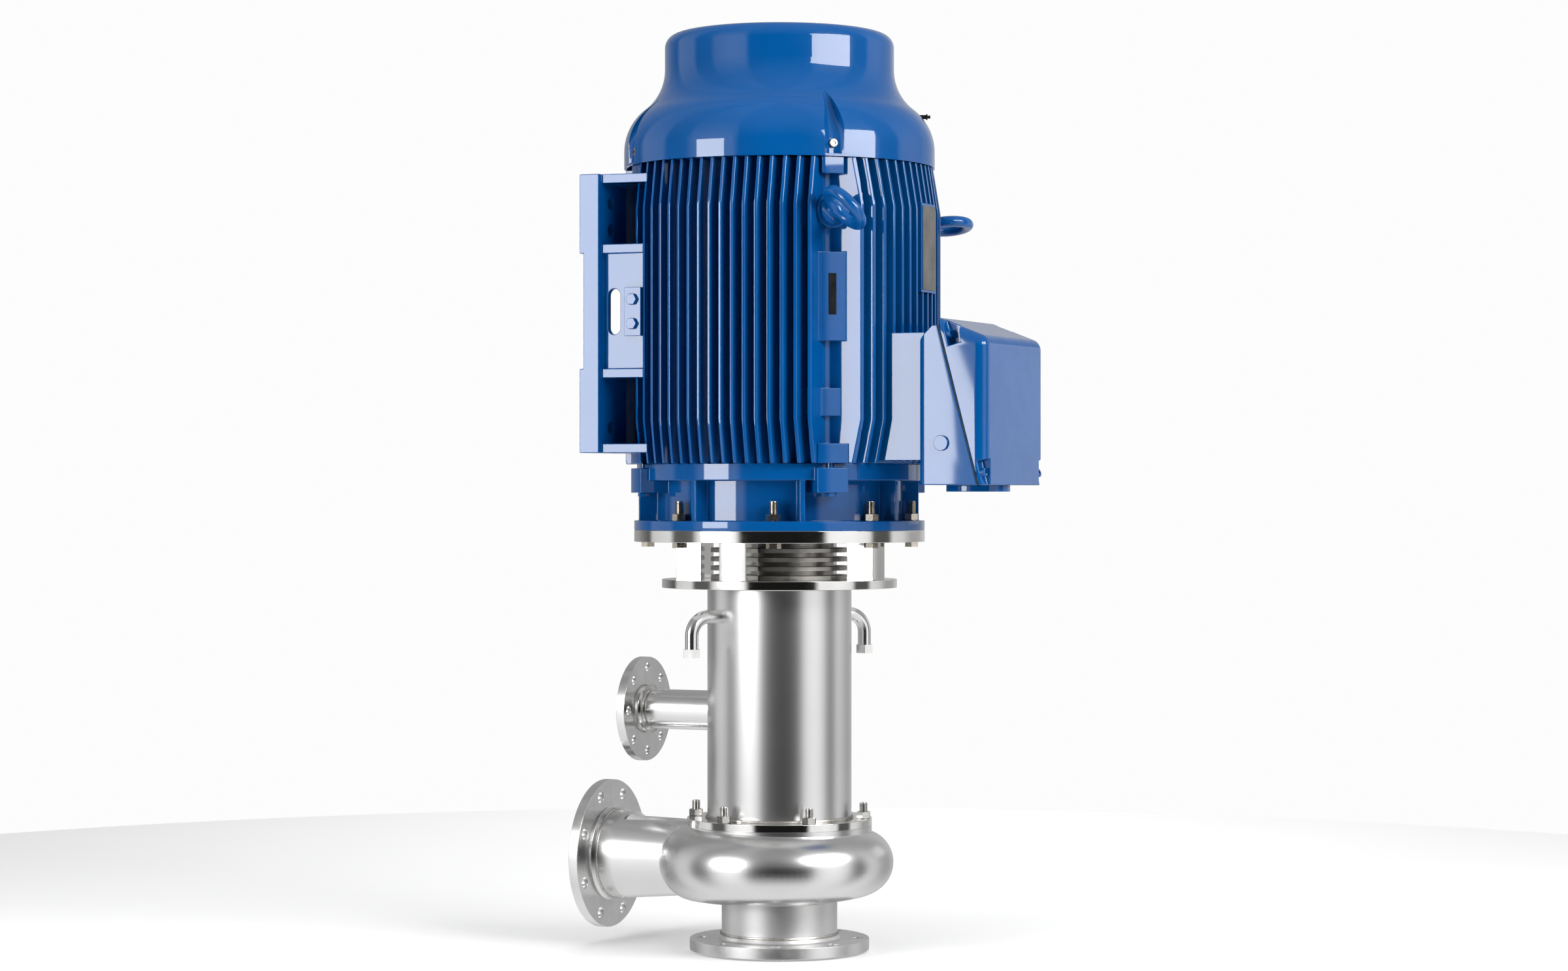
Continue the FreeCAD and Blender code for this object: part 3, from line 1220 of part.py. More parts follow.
def foot(side):
    # One cast foot: two pads joined by a narrow strip, cross ribs, walls and a web with a slot.
    def slab(x_low, x_high, y_low, y_high, z_low, z_high):
        near, far = sorted((side * y_low, side * y_high))
        return block((x_low, near, z_low), (x_high, far, z_high))
    pieces = [
        slab(-v.foot_reach, foot_back, v.foot_inner, foot_outer, foot_bottom, low_pad_top),
        slab(-v.foot_reach, foot_back, v.foot_inner, foot_outer, high_pad_bottom, foot_top),
        slab(-v.foot_reach + v.foot_relief, foot_back, foot_outer - v.foot_strip, foot_outer,
             low_pad_top - 1, high_pad_bottom + 1),
    ]
    rib_floors = (foot_bottom, low_pad_top - v.foot_rib, high_pad_bottom, foot_top - v.foot_rib)
    for rib_bottom in rib_floors:
        plan = [
            (foot_back - 1, v.foot_inner - v.foot_wall),
            (foot_back - 1, foot_outer - v.foot_wall),
            (-v.web_inner_reach, web_reach),
            (-v.web_inner_reach, v.foot_inner - v.foot_wall),
        ]
        face = Part.Face(Part.makePolygon([Vector(x, side * y, rib_bottom) for x, y in plan + plan[:1]]))
        pieces.append(face.extrude(Vector(0, 0, v.foot_rib)))
    for wall_bottom, wall_top in ((foot_bottom, low_pad_top), (high_pad_bottom, foot_top)):
        pieces.append(slab(foot_back - 1, -v.web_inner_reach, v.foot_inner - v.foot_wall, v.foot_inner,
                           wall_bottom, wall_top))
    pieces.append(slab(foot_back - 1, -v.web_inner_reach, web_reach - v.foot_wall, web_reach,
                       low_pad_top - v.foot_rib, high_pad_bottom + v.foot_rib))
    return pieces


def foot_cuts():
    holes = []
    hole_low = motor_base + v.foot_hole_low
    for side in (-1, 1):
        for height in (hole_low, hole_low + v.foot_hole_mid, hole_low + v.foot_hole_high):
            start = Vector(-v.foot_reach - 1, side * foot_hole_reach, height)
            holes.append(bar(start, start + Vector(v.foot_thick + 2, 0, 0), v.foot_hole / 2))
        slot_middle = motor_base + v.slot_rise
        half = (v.slot_length - v.slot_width) / 2
        slot = [block((-v.slot_reach - v.slot_width / 2, -foot_outer, slot_middle - half),
                      (-v.slot_reach + v.slot_width / 2, foot_outer, slot_middle + half))]
        for height in (slot_middle - half, slot_middle + half):
            slot.append(bar(Vector(-v.slot_reach, -foot_outer, height),
                            Vector(-v.slot_reach, foot_outer, height), v.slot_width / 2))
    keep_frame = rod(v.frame_core_radius, foot_bottom, foot_top)
    slots = union(slot).cut(keep_frame)
    return holes + [slots]


def motor_frame():
    parts = [finned_barrel()]
    for side in (-1, 1):
        parts.extend(foot(side))
    parts.append(block((v.stator_bore_radius, -v.neck_half_width, motor_base + v.neck_start),
                       (v.box_back, v.neck_half_width, motor_base + v.neck_start + v.neck_height)))
    plate_middle = motor_base + v.name_plate_rise
    pad_half = v.name_plate_height / 2 + v.name_plate_rim
    pad_side = v.name_plate_width / 2 + v.name_plate_rim
    parts.append(block((v.frame_bore_radius, -pad_side, plate_middle - pad_half),
                       (v.fin_tip_radius + v.name_pad_rise, pad_side, plate_middle + pad_half)))
    inner = v.frame_bore_radius - 5
    low_boss = corner(v.corner_radius, v.corner_width, shield_top, shield_top + v.low_boss_height, inner)
    high_boss = corner(v.corner_radius, v.corner_width * 0.7, frame_top - v.high_boss_height, frame_top, inner)
    parts += around(low_boss, 4, 45) + around(high_boss, 4, 45)
    pad_bottom = motor_base + v.pad_rise - v.pad_height / 2
    bar_bottom = motor_base + v.cross_bar_rise
    eye_height = motor_base + v.eye_rise
    pad = corner(v.pad_reach, v.pad_width, pad_bottom, pad_bottom + v.pad_height, inner)
    cross_bar = corner(v.cross_bar_reach, v.cross_bar_width, bar_bottom, bar_bottom + v.cross_bar_height, inner)
    eye_boss = bar(Vector(inner, 0, eye_height), Vector(v.eye_boss_reach, 0, eye_height), v.eye_boss_radius)
    for solid in (pad, cross_bar, eye_boss):
        parts += around(solid, 1, -45) + around(solid, 1, 45)
    frame = parts[0].multiFuse(parts[1:])
    bore = rod(v.frame_bore_radius, shield_top - 1, frame_top + 1)
    low_register = rod(v.register_radius, shield_top - 1, shield_top + v.register_depth + v.side_gap)
    high_register = rod(v.register_radius, frame_top - v.register_depth - v.side_gap, frame_top + 1)
    frame = frame.cut(bore.multiFuse([low_register, high_register]))
    for hole in foot_cuts():
        frame = frame.cut(hole)
    screws = drilled_ring(v.screw_dia / 2 + v.side_gap, v.shield_screw_radius, 4, 45, shield_top,
                          shield_top + v.shield_screw_reach)
    return frame.cut(screws)


built("motor_frame", motor_frame())


# Rear end shield, under the fan cover

def rear_end_shield():
    bearing_top = rear_bearing_bottom + v.bearing_width
    hub_top = bearing_top + v.shield_wall
    shell = lathe([
        (register_outer - v.shield_wall, frame_top - v.register_depth),
        (register_outer, frame_top - v.register_depth),
        (register_outer, frame_top),
        (v.rear_shield_radius, frame_top),
        (v.rear_shield_radius, frame_top + v.rear_rim_height),
        (register_outer, frame_top + v.rear_rim_height),
        (v.shield_hub_radius, hub_top - v.shield_wall),
        (v.shield_hub_radius - v.shield_wall, hub_top),
        (v.bore_lip_radius, hub_top),
        (v.bore_lip_radius, bearing_top),
        (v.bearing_outer_radius, bearing_top),
        (v.bearing_outer_radius, rear_bearing_bottom),
        (v.shield_hub_radius, rear_bearing_bottom),
        (v.shield_hub_radius, bearing_top - 2 * v.shield_wall),
        (register_outer - v.shield_wall, frame_top + v.rear_rim_height - v.shield_wall),
    ])
    ear = corner(v.rear_ear_radius, v.corner_width * 0.5, frame_top, frame_top + v.rear_ear_height,
                 v.rear_shield_radius - 4)
    return union([shell] + around(ear, 4, 45))


built("rear_end_shield", rear_end_shield())
plain_ring("stator_core", "stator_bore_radius", "frame_bore_radius", "stator_length", STATOR_BOTTOM)
built("stator_windings", Part.makeCompound([
    ring(v.winding_inner_radius, v.winding_outer_radius, bottom, bottom + v.winding_overhang)
    for bottom in (stator_bottom - v.winding_overhang, stator_top)
]))


# Fan cover: a bell whose shoulder and neck are two equal arcs

def bell_profile(inset):
    # The outline from the lower edge to the air inlet, moved in by the wall or not at all.
    skirt = v.bell_skirt_radius - inset
    neck = v.bell_neck_radius - inset
    skirt_top = frame_top + v.bell_skirt_height
    neck_bottom = frame_top + v.bell_neck_bottom
    top = frame_top + v.bell_height - inset
    half = (neck_bottom - skirt_top) / 2
    shift = (skirt - neck) / 2
    radius = (half ** 2 + shift ** 2) / (2 * shift)
    turn = math.asin(half / radius) / 2
    shoulder = Vector(skirt - radius + radius * math.cos(turn), 0, skirt_top + radius * math.sin(turn))
    waist = Vector(skirt - shift, 0, skirt_top + half)
    throat = Vector(neck + radius - radius * math.cos(turn), 0, neck_bottom - radius * math.sin(turn))
    round_radius = v.bell_top_round - inset
    slant = round_radius * (1 - math.sqrt(0.5))
    corners = [
        Vector(skirt, 0, frame_top),
        Vector(skirt, 0, skirt_top),
        waist,
        Vector(neck, 0, neck_bottom),
        Vector(neck, 0, top - round_radius),
        Vector(neck - round_radius, 0, top),
        Vector(v.inlet_radius, 0, top),
    ]
    return [
        Part.LineSegment(corners[0], corners[1]).toShape(),
        Part.Arc(corners[1], shoulder, waist).toShape(),
        Part.Arc(waist, throat, corners[3]).toShape(),
        Part.LineSegment(corners[3], corners[4]).toShape(),
        Part.Arc(corners[4], Vector(neck - slant, 0, top - slant), corners[5]).toShape(),
        Part.LineSegment(corners[5], corners[6]).toShape(),
    ]


def bell(inset):
    # The bell as a full solid, without its air inlet.
    edges = bell_profile(inset)
    start = edges[0].Vertexes[0].Point
    end = edges[-1].Vertexes[-1].Point
    axis_top = Vector(0, 0, end.z)
    axis_bottom = Vector(0, 0, start.z)
    closing = [
        Part.LineSegment(end, axis_top).toShape(),
        Part.LineSegment(axis_top, axis_bottom).toShape(),
        Part.LineSegment(axis_bottom, start).toShape(),
    ]
    return Part.Face(Part.Wire(edges + closing)).revolve(ZERO, UP, 360)


bell_top = frame_top + v.bell_height
groove_bottom = frame_top + v.groove_start


def groove(extra, bottom):
    # A screw groove that leans inwards and tapers out, or its wall with an extra radius.
    middle = Vector(v.groove_reach, 0, 0)
    bend = Vector(v.groove_reach, 0, frame_top + v.groove_straight)
    lean = Vector(-v.groove_lean, 0, v.groove_length - v.groove_straight)
    straight = rod(v.groove_radius + extra, bottom, bend.z + 2 * extra + 1, middle)
    taper = Part.makeCone(v.groove_radius + extra, v.groove_tip_radius + extra, lean.Length, bend, lean)
    return straight.fuse(taper)


def fan_cover():
    outside = bell(0)
    inside = bell(v.bell_wall)
    inlet = rod(v.inlet_radius, bell_top - 2 * v.bell_wall, bell_top + 1)
    dimples = Part.makeCompound(around(groove(v.bell_wall, frame_top), 4, 45)).common(outside)
    cover = outside.cut(inside).cut(inlet).multiFuse(dimples.Solids)
    cover = cover.cut(Part.makeCompound(around(groove(0, groove_bottom), 4, 45)))
    hole = bar(Vector(v.rear_ear_radius - 20, 0, frame_top + v.cover_screw_rise),
               Vector(v.bell_skirt_radius + 5, 0, frame_top + v.cover_screw_rise),
               v.cover_screw_dia / 2 + v.side_gap)
    nipple_hole = bar(polar(v.nipple_inner, v.nipple_angle, frame_top + v.nipple_rise),
                      polar(v.bell_skirt_radius, v.nipple_angle, frame_top + v.nipple_rise), v.nipple_radius)
    return cover.cut(Part.makeCompound(around(hole, 4, 45))).cut(nipple_hole)


built("fan_cover", fan_cover())


def air_inlet_grille():
    # Concentric bars on spokes, screwed up against the cover's top.
    top = bell_top - v.bell_wall
    bottom = top - v.grille_bar
    rim = v.inlet_radius + v.grille_bar
    bars = [ring(v.inlet_radius - v.grille_bar, rim, bottom, top)]
    step = (v.inlet_radius - v.grille_bar) / (v.grille_rings + 1)
    for i in range(1, int(v.grille_rings) + 1):
        radius = step * i
        bars.append(ring(radius - v.grille_bar / 2, radius + v.grille_bar / 2, bottom, top))
    spoke = block((step - v.grille_bar, -v.grille_bar / 2, bottom), (v.inlet_radius, v.grille_bar / 2, top))
    return union(bars + around(spoke, v.grille_spokes))


built("air_inlet_grille", air_inlet_grille())


def cooling_fan():
    bottom = frame_top + v.fan_start
    disc_top = bottom + v.fan_disc_thick
    hub_top = bottom + v.fan_hub_height
    wheel = lathe([
        (v.fan_seat_radius, bottom),
        (v.fan_radius, bottom),
        (v.fan_radius, disc_top),
        (v.fan_hub_radius, disc_top),
        (v.fan_hub_radius * 0.9, hub_top),
        (v.fan_seat_radius, hub_top),
    ])
    blade_top = disc_top + v.fan_blade_height
    points = [
        Vector(v.fan_hub_radius - 4, 0, disc_top - 1),
        Vector(v.fan_radius, 0, disc_top - 1),
        Vector(v.fan_radius, 0, blade_top),
        Vector(v.fan_blade_inner, 0, blade_top),
        Vector(v.fan_hub_radius - 4, 0, hub_top - v.fan_disc_thick),
    ]
    blade = Part.Face(Part.makePolygon(points + points[:1])).extrude(Vector(0, v.fan_disc_thick, 0))
    blade.translate(Vector(0, -v.fan_disc_thick / 2, 0))
    return union([wheel] + around(blade, v.fan_blade_count))


built("cooling_fan", cooling_fan())


# Lifting eyes, plates and small parts of the motor

def lifting_eye(azimuth, roll):
    # Collar and ring along X, rolled about X, then turned to its corner.
    seat = v.eye_boss_reach
    collar = bar(Vector(seat, 0, 0), Vector(seat + v.eye_collar_thick, 0, 0), v.eye_collar_radius)
    mean = v.eye_outer_radius - v.eye_bar_radius
    neck = Part.makeCone(v.eye_collar_radius * 0.6, v.eye_bar_radius,
                         v.eye_reach - mean - seat - v.eye_collar_thick + v.eye_bar_radius / 2,
                         Vector(seat + v.eye_collar_thick, 0, 0), Vector(1, 0, 0))
    eye_ring = Part.makeTorus(mean, v.eye_bar_radius, Vector(v.eye_reach, 0, 0), Vector(0, 1, 0))
    eye = union([collar, neck, eye_ring])
    eye.rotate(ZERO, Vector(1, 0, 0), roll)
    eye.translate(Vector(0, 0, motor_base + v.eye_rise))
    eye.rotate(ZERO, UP, azimuth)
    return eye


built("lifting_eyebolts", Part.makeCompound([
    lifting_eye(-45, v.front_eye_roll), lifting_eye(45, v.rear_eye_roll)]))

nodes.append(primitive("Box", "nameplate", {
    "Length": "plate_sheet",
    "Width": "name_plate_width",
    "Height": "name_plate_height",
    "Placement.Base.x": NAME_PAD_REACH,
    "Placement.Base.y": "-name_plate_width / 2",
    "Placement.Base.z": MOTOR_BASE + " + name_plate_rise - name_plate_height / 2",
}))


def small_plate():
    reach = math.sqrt(v.pad_reach ** 2 - (v.small_plate_width / 2) ** 2)
    middle = motor_base + v.small_plate_rise
    plate = ring(v.pad_reach, v.pad_reach + v.plate_sheet, middle - v.small_plate_height / 2,
                 middle + v.small_plate_height / 2)
    plate = plate.common(block((reach - 5, -v.small_plate_width / 2, 0),
                               (v.corner_radius + 5, v.small_plate_width / 2, frame_top)))
    plate.rotate(ZERO, UP, -45)
    return plate


built("small_plate", small_plate())


def grease_nipple():
    height = frame_top + v.nipple_rise
    cap_start = polar(v.nipple_reach - v.nipple_cap, v.nipple_angle, height)
    stem = bar(polar(v.nipple_inner, v.nipple_angle, height), cap_start, v.nipple_radius)
    cap = bar(cap_start, polar(v.nipple_reach, v.nipple_angle, height), v.nipple_cap_radius)
    return stem.fuse(cap).removeSplitter()


built("grease_nipple", grease_nipple())


def earth_terminal():
    # A small block on the foot's web with two bolts through it.
    middle = motor_base + v.earth_rise
    low = -web_reach - v.earth_thick
    plate = block((-v.earth_reach - v.earth_width / 2, low, middle - v.earth_length / 2),
                  (-v.earth_reach + v.earth_width / 2, -web_reach, middle + v.earth_length / 2))
    pieces = [plate]
    for offset in (-v.earth_length / 4, v.earth_length / 4):
        head = hexagon(v.screw_dia * 1.6, 0, v.screw_dia * 0.6)
        head.rotate(ZERO, Vector(1, 0, 0), 90)
        head.translate(Vector(-v.earth_reach, low, middle + offset))
        pieces.append(head)
    return union(pieces)


built("earth_terminal", earth_terminal())


# Terminal box: a base and a lid that meet on a slanting joint

box_bottom = motor_base + v.box_start
box_top = box_bottom + v.box_height
lid_top = box_bottom + v.box_front_height
split_low = Vector(v.box_split_bottom, 0, box_bottom)
split_high = Vector(v.box_split_top, 0, box_top)
split_way = (split_high - split_low).normalize()
split_out = Vector(split_way.z, 0, -split_way.x)


def on_joint(offset, height):
    # A point on the joint's plane, moved out by an offset, at a height.
    start = split_low + split_out * offset
    return start + split_way * ((height - start.z) / split_way.z)


def prism(points, half_width):
    # A flat outline in the XZ plane, given a width to both sides.
    corners = [Vector(point.x, -half_width, point.z) for point in points]
    return Part.Face(Part.makePolygon(corners + corners[:1])).extrude(Vector(0, 2 * half_width, 0))


def slab(along, out, side):
    # A block along the joint, with its reach up the joint, out of it and sideways.
    points = [(along[0], out[0]), (along[1], out[0]), (along[1], out[1]), (along[0], out[1])]
    corners = [split_low + split_way * up + split_out * away + Vector(0, min(side), 0) for up, away in points]
    return Part.Face(Part.makePolygon(corners + corners[:1])).extrude(Vector(0, abs(side[1] - side[0]), 0))


def corner_slabs(reach, out, width):
    # The same slab at the joint's four corners.
    length = (split_high - split_low).Length
    return [slab(along, out, (side * (v.box_half_width - width), side * (v.box_half_width + 1)))
            for along in ((-v.pocket_reach, reach), (length - reach, length + v.pocket_reach)) for side in (-1, 1)]


def screw_bars(radius, start, end):
    # Bars on the four lid screws' axes, from one distance off the joint to another.
    length = (split_high - split_low).Length
    bars = []
    for side in (-1, 1):
        for spot in (v.lid_screw_inset, length - v.lid_screw_inset):
            point = split_low + split_way * spot + Vector(0, side * (v.box_half_width - v.lid_screw_side), 0)
            bars.append(bar(point + split_out * start, point + split_out * end, radius))
    return Part.makeCompound(bars)


def with_bosses(shell, outer, out):
    # A shell with solid corners for the screws, kept inside its outer shape.
    bosses = Part.makeCompound(corner_slabs(v.pocket_reach + v.box_wall, out, v.pocket_width + v.box_wall))
    return union([shell] + bosses.common(outer).Solids)


def back_upright(edge):
    upright = abs(edge.tangentAt(edge.FirstParameter).z) > 0.99
    return upright and abs(edge.Vertexes[0].Point.x - v.box_back) < 0.1


def lid_outer_edge(edge):
    # Edges of the lid's block that are neither on its joint nor underneath.
    ends = [vertex.Point for vertex in edge.Vertexes]
    on_plane = [abs((end - split_low).dot(split_out) - v.lid_gasket) < 0.1 for end in ends]
    underneath = [abs(end.z - box_bottom) < 0.1 for end in ends]
    return not all(on_plane) and not all(underneath)


def terminal_box():
    wall = v.box_wall
    half = v.box_half_width
    outer = prism([
        Vector(v.box_back, 0, box_bottom),
        split_low,
        split_high,
        Vector(v.box_back + v.box_bevel, 0, box_top),
        Vector(v.box_back, 0, box_top - v.box_bevel),
    ], half)
    outer = outer.makeFillet(v.box_round, [edge for edge in outer.Edges if back_upright(edge)])
    beyond = split_out * wall
    inner = prism([
        Vector(v.box_back + wall, 0, box_bottom + wall),
        split_low + beyond + split_way * wall,
        split_high + beyond - split_way * wall,
        Vector(v.box_back + v.box_bevel + wall / 2, 0, box_top - wall),
        Vector(v.box_back + wall, 0, box_top - v.box_bevel - wall / 2),
    ], half - wall)
    entry = rod(v.entry_bore / 2, box_bottom - 1, box_bottom + wall + 1, Vector(v.entry_reach, 0, 0))
    lead_hole = block((v.box_back - 1, -v.lead_half_width, motor_base + v.lead_start),
                      (v.box_back + wall + 1, v.lead_half_width, motor_base + v.lead_start + v.lead_height))
    plug_hole = bar(Vector(v.plug_reach, -half - 1, motor_base + v.plug_rise),
                    Vector(v.plug_reach, -half + wall + 1, motor_base + v.plug_rise), v.plug_dia * 0.35)
    base = with_bosses(outer.cut(inner), outer, (-v.lid_screw_depth - wall, 0))
    base = base.cut(entry).cut(lead_hole).cut(plug_hole)
    return base.cut(screw_bars(v.lid_screw_dia / 2, -v.lid_screw_depth, 1))


def terminal_box_lid():
    wall = v.box_wall
    half = v.box_half_width
    low = on_joint(v.lid_gasket, box_bottom)
    high = on_joint(v.lid_gasket, box_top)
    crown = high + split_way * v.lid_crown
    outer = prism([low, Vector(v.box_reach, 0, box_bottom), Vector(v.box_reach, 0, lid_top), crown], half)
    outer = outer.makeFillet(v.lid_round, [edge for edge in outer.Edges if lid_outer_edge(edge)])
    inner = prism([
        Vector(low.x - wall, 0, box_bottom + wall),
        Vector(v.box_reach - wall, 0, box_bottom + wall),
        Vector(v.box_reach - wall, 0, lid_top - wall),
        high - split_way * wall + split_out * wall,
        high - split_way * wall - split_out * wall,
    ], half - wall)
    lug_face = v.lid_gasket + v.lug_thick
    lid = with_bosses(outer.cut(inner), outer, (v.lid_gasket, lug_face + v.pocket_depth + wall))
    for pocket in corner_slabs(v.pocket_reach, (lug_face, lug_face + v.pocket_depth), v.pocket_width):
        lid = lid.cut(pocket)
    return lid.cut(screw_bars(v.lid_screw_dia / 2 + v.side_gap, 0, lug_face + 1))


def lid_gasket():
    # A flat frame between the base's rim and the lid's.
    wall = v.box_wall
    outer = prism([on_joint(0, box_bottom), on_joint(v.lid_gasket, box_bottom),
                   on_joint(v.lid_gasket, box_top), on_joint(0, box_top)], v.box_half_width)
    beyond = 2 * v.lid_gasket
    inner = prism([on_joint(-beyond, box_bottom + wall), on_joint(beyond, box_bottom + wall),
                   on_joint(beyond, box_top - wall), on_joint(-beyond, box_top - wall)],
                  v.box_half_width - wall)
    frame = with_bosses(outer.cut(inner), outer, (0, v.lid_gasket))
    return frame.cut(screw_bars(v.lid_screw_dia / 2 + v.side_gap, -1, v.lid_gasket + 1))


built("terminal_box", terminal_box())
built("terminal_box_lid", terminal_box_lid())
built("lid_gasket", lid_gasket())


def terminal_board():
    # An insulating block with six terminal studs.
    back = v.box_back + v.box_wall
    board_bottom = motor_base + v.lead_start - v.board_margin
    board = block((back, -v.lead_half_width - v.board_margin, board_bottom),
                  (back + v.board_thick, v.lead_half_width + v.board_margin,
                   motor_base + v.lead_start + v.lead_height + v.board_margin))
    pieces = [board]
    for row in (0.3, 0.7):
        for column in (-1, 0, 1):
            start = Vector(back + v.board_thick - 1, column * v.lead_half_width * 0.8,
                           motor_base + v.lead_start + v.lead_height * row)
            pieces.append(bar(start, start + Vector(v.board_stud_length, 0, 0), v.board_stud_dia / 2))
    return union(pieces)


built("terminal_board", terminal_board())
nodes.append(primitive("Cylinder", "cable_entry_plate", {
    "Radius": "entry_dia / 2",
    "Height": "entry_thick",
    "Placement.Base.x": "entry_reach",
    "Placement.Base.z": MOTOR_BASE + " + box_start - entry_thick",
}))
nodes.append(primitive("Cylinder", "side_plug", {
    "Radius": "plug_dia / 2",
    "Height": "plug_thick",
    "Placement.Base.x": "plug_reach",
    "Placement.Base.y": "-box_half_width - plug_thick",
    "Placement.Base.z": MOTOR_BASE + " + plug_rise",
}, ALONG_Y))


# Bolts, nuts and screws

def motor_bolts():
    # Hexagon bolts from below the lantern ring, with threaded ends above their nuts.
    middle = Vector(v.motor_bolt_circle / 2, 0, 0)
    head = hexagon(v.motor_bolt_width, posts_top - v.motor_bolt_head, posts_top, middle)
    shank = rod(v.motor_bolt_dia / 2, posts_top, flange_top + v.motor_bolt_end, middle)
    return Part.makeCompound(around(head.fuse(shank), v.motor_bolt_count, 180 / v.motor_bolt_count))


def motor_nuts():
    middle = Vector(v.motor_bolt_circle / 2, 0, 0)
    nut = hexagon(v.motor_bolt_width, flange_top, flange_top + v.motor_nut_thick, middle)
    nut = nut.cut(rod(v.motor_bolt_dia / 2, flange_top - 1, flange_top + v.motor_nut_thick + 1, middle))
    return Part.makeCompound(around(nut, v.motor_bolt_count, 180 / v.motor_bolt_count))


def motor_screws():
    # Four screws up through the drive end shield's corners.
    middle = Vector(v.shield_screw_radius, 0, 0)
    bottom = shield_top - v.corner_drop
    head = hexagon(v.screw_dia * 1.6, bottom - v.screw_dia * 0.6, bottom, middle)
    shank = rod(v.screw_dia / 2, bottom, shield_top + v.shield_screw_reach - 2, middle)
    return Part.makeCompound(around(head.fuse(shank), 4, 45))


def cover_screws():
    # Four screws in the grooves of the fan cover, into the rear shield's ears.
    height = frame_top + v.cover_screw_rise
    floor = v.groove_reach - math.sqrt(v.groove_radius ** 2 - v.cover_screw_dia ** 2)
    head = bar(Vector(floor, 0, height), Vector(floor + v.cover_screw_head, 0, height), v.cover_screw_dia)
    shank = bar(Vector(v.rear_ear_radius, 0, height), Vector(floor, 0, height), v.cover_screw_dia / 2)
    return Part.makeCompound(around(head.fuse(shank), 4, 45))


def lid_screws():
    # Four screws through the lid's corners into the base's bosses.
    lug_face = v.lid_gasket + v.lug_thick
    shanks = screw_bars(v.lid_screw_dia / 2, -v.lid_screw_depth, lug_face)
    heads = screw_bars(v.lid_screw_head, lug_face, lug_face + v.lid_screw_head)
    return Part.makeCompound([shank.fuse(head) for shank, head in zip(shanks.Solids, heads.Solids)])


built("motor_bolts", motor_bolts())
built("motor_nuts", motor_nuts())
built("motor_screws", motor_screws())
built("fan_cover_screws", cover_screws())
built("lid_screws", lid_screws())


# Check and write

doc.recompute()
for item in doc.Objects:
    assert "Invalid" not in item.State and "Error" not in item.State, item.Name
for node in nodes:
    assert not node.Shape.isNull() and node.Shape.isValid(), node.Label
    node.Shape.exportStep(f"parts/{node.Label}.step")
    print(node.Label, round(node.Shape.Volume), len(node.Shape.Solids))
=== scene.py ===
import json
import math

import bmesh
import bpy
from mathutils import Matrix, Vector

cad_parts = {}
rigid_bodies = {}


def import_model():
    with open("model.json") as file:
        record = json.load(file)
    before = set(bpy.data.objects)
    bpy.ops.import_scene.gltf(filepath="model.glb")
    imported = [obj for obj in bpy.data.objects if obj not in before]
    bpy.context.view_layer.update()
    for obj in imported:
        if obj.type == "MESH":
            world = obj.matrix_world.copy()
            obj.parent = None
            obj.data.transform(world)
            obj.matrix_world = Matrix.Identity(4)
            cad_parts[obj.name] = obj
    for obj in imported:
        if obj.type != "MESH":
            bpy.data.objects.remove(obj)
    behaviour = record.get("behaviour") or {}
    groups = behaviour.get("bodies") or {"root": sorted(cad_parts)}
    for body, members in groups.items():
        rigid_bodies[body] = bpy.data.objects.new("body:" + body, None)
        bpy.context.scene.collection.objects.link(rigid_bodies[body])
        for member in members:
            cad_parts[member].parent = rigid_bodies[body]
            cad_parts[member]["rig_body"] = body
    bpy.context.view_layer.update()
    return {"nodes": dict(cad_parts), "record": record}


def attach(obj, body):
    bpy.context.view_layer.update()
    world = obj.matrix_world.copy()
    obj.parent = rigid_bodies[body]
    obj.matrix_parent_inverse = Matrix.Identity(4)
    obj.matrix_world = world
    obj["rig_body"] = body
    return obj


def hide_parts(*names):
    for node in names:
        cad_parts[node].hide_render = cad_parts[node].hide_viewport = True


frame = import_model()
cad = frame["nodes"]
print("frame loaded:", len(cad), "nodes")

upAxis = Vector((0, 0, 1))


# Places on the CAD nodes, in metres to the micrometre, which the pieces below start from

def lowest(nodeName, axis="z"):
    return round(min(getattr(vert.co, axis) for vert in cad[nodeName].data.vertices), 6)


def highest(nodeName, axis="z"):
    return round(max(getattr(vert.co, axis) for vert in cad[nodeName].data.vertices), 6)


def middleHeight(nodeName):
    return (lowest(nodeName) + highest(nodeName)) / 2


dischargeHeight = middleHeight("discharge_flange")
branchHeight = middleHeight("branch_flange")


# Camera, at the photograph's own angle and distance

cameraSetup = {  # metres, with the lens and sensor in millimetres
    "azimuth": 25.0,  # degrees round from the front
    "distance": 6.6,
    "height": 0.865,
    "lens": 79.95,
    "sensor": 36.0,
    "shiftX": 0.0029,
    "shiftY": 0.005,
    "farthest": 60,
}


def aroundPump(degrees, distance, height):
    # A place round the pump, its angle counted from the camera's side.
    turn = math.radians(cameraSetup["azimuth"] + degrees)
    return Vector((math.sin(turn) * distance, -math.cos(turn) * distance, height))


def placeCamera(setup):
    lens = bpy.data.cameras.new("photoCamera")
    lens.lens = setup["lens"]
    lens.sensor_width = setup["sensor"]
    lens.shift_x = setup["shiftX"]
    lens.shift_y = setup["shiftY"]
    lens.clip_end = setup["farthest"]
    camera = bpy.data.objects.new("photoCamera", lens)
    camera.location = aroundPump(0, setup["distance"], setup["height"])
    camera.rotation_euler = (math.pi / 2, 0, math.radians(setup["azimuth"]))
    bpy.context.scene.collection.objects.link(camera)
    bpy.context.scene.camera = camera


placeCamera(cameraSetup)
print("camera placed")


# Node helpers shared by every finish

def addNode(tree, kind, **settings):
    node = tree.nodes.new(kind)
    for key, value in settings.items():
        setattr(node, key, value)
    return node


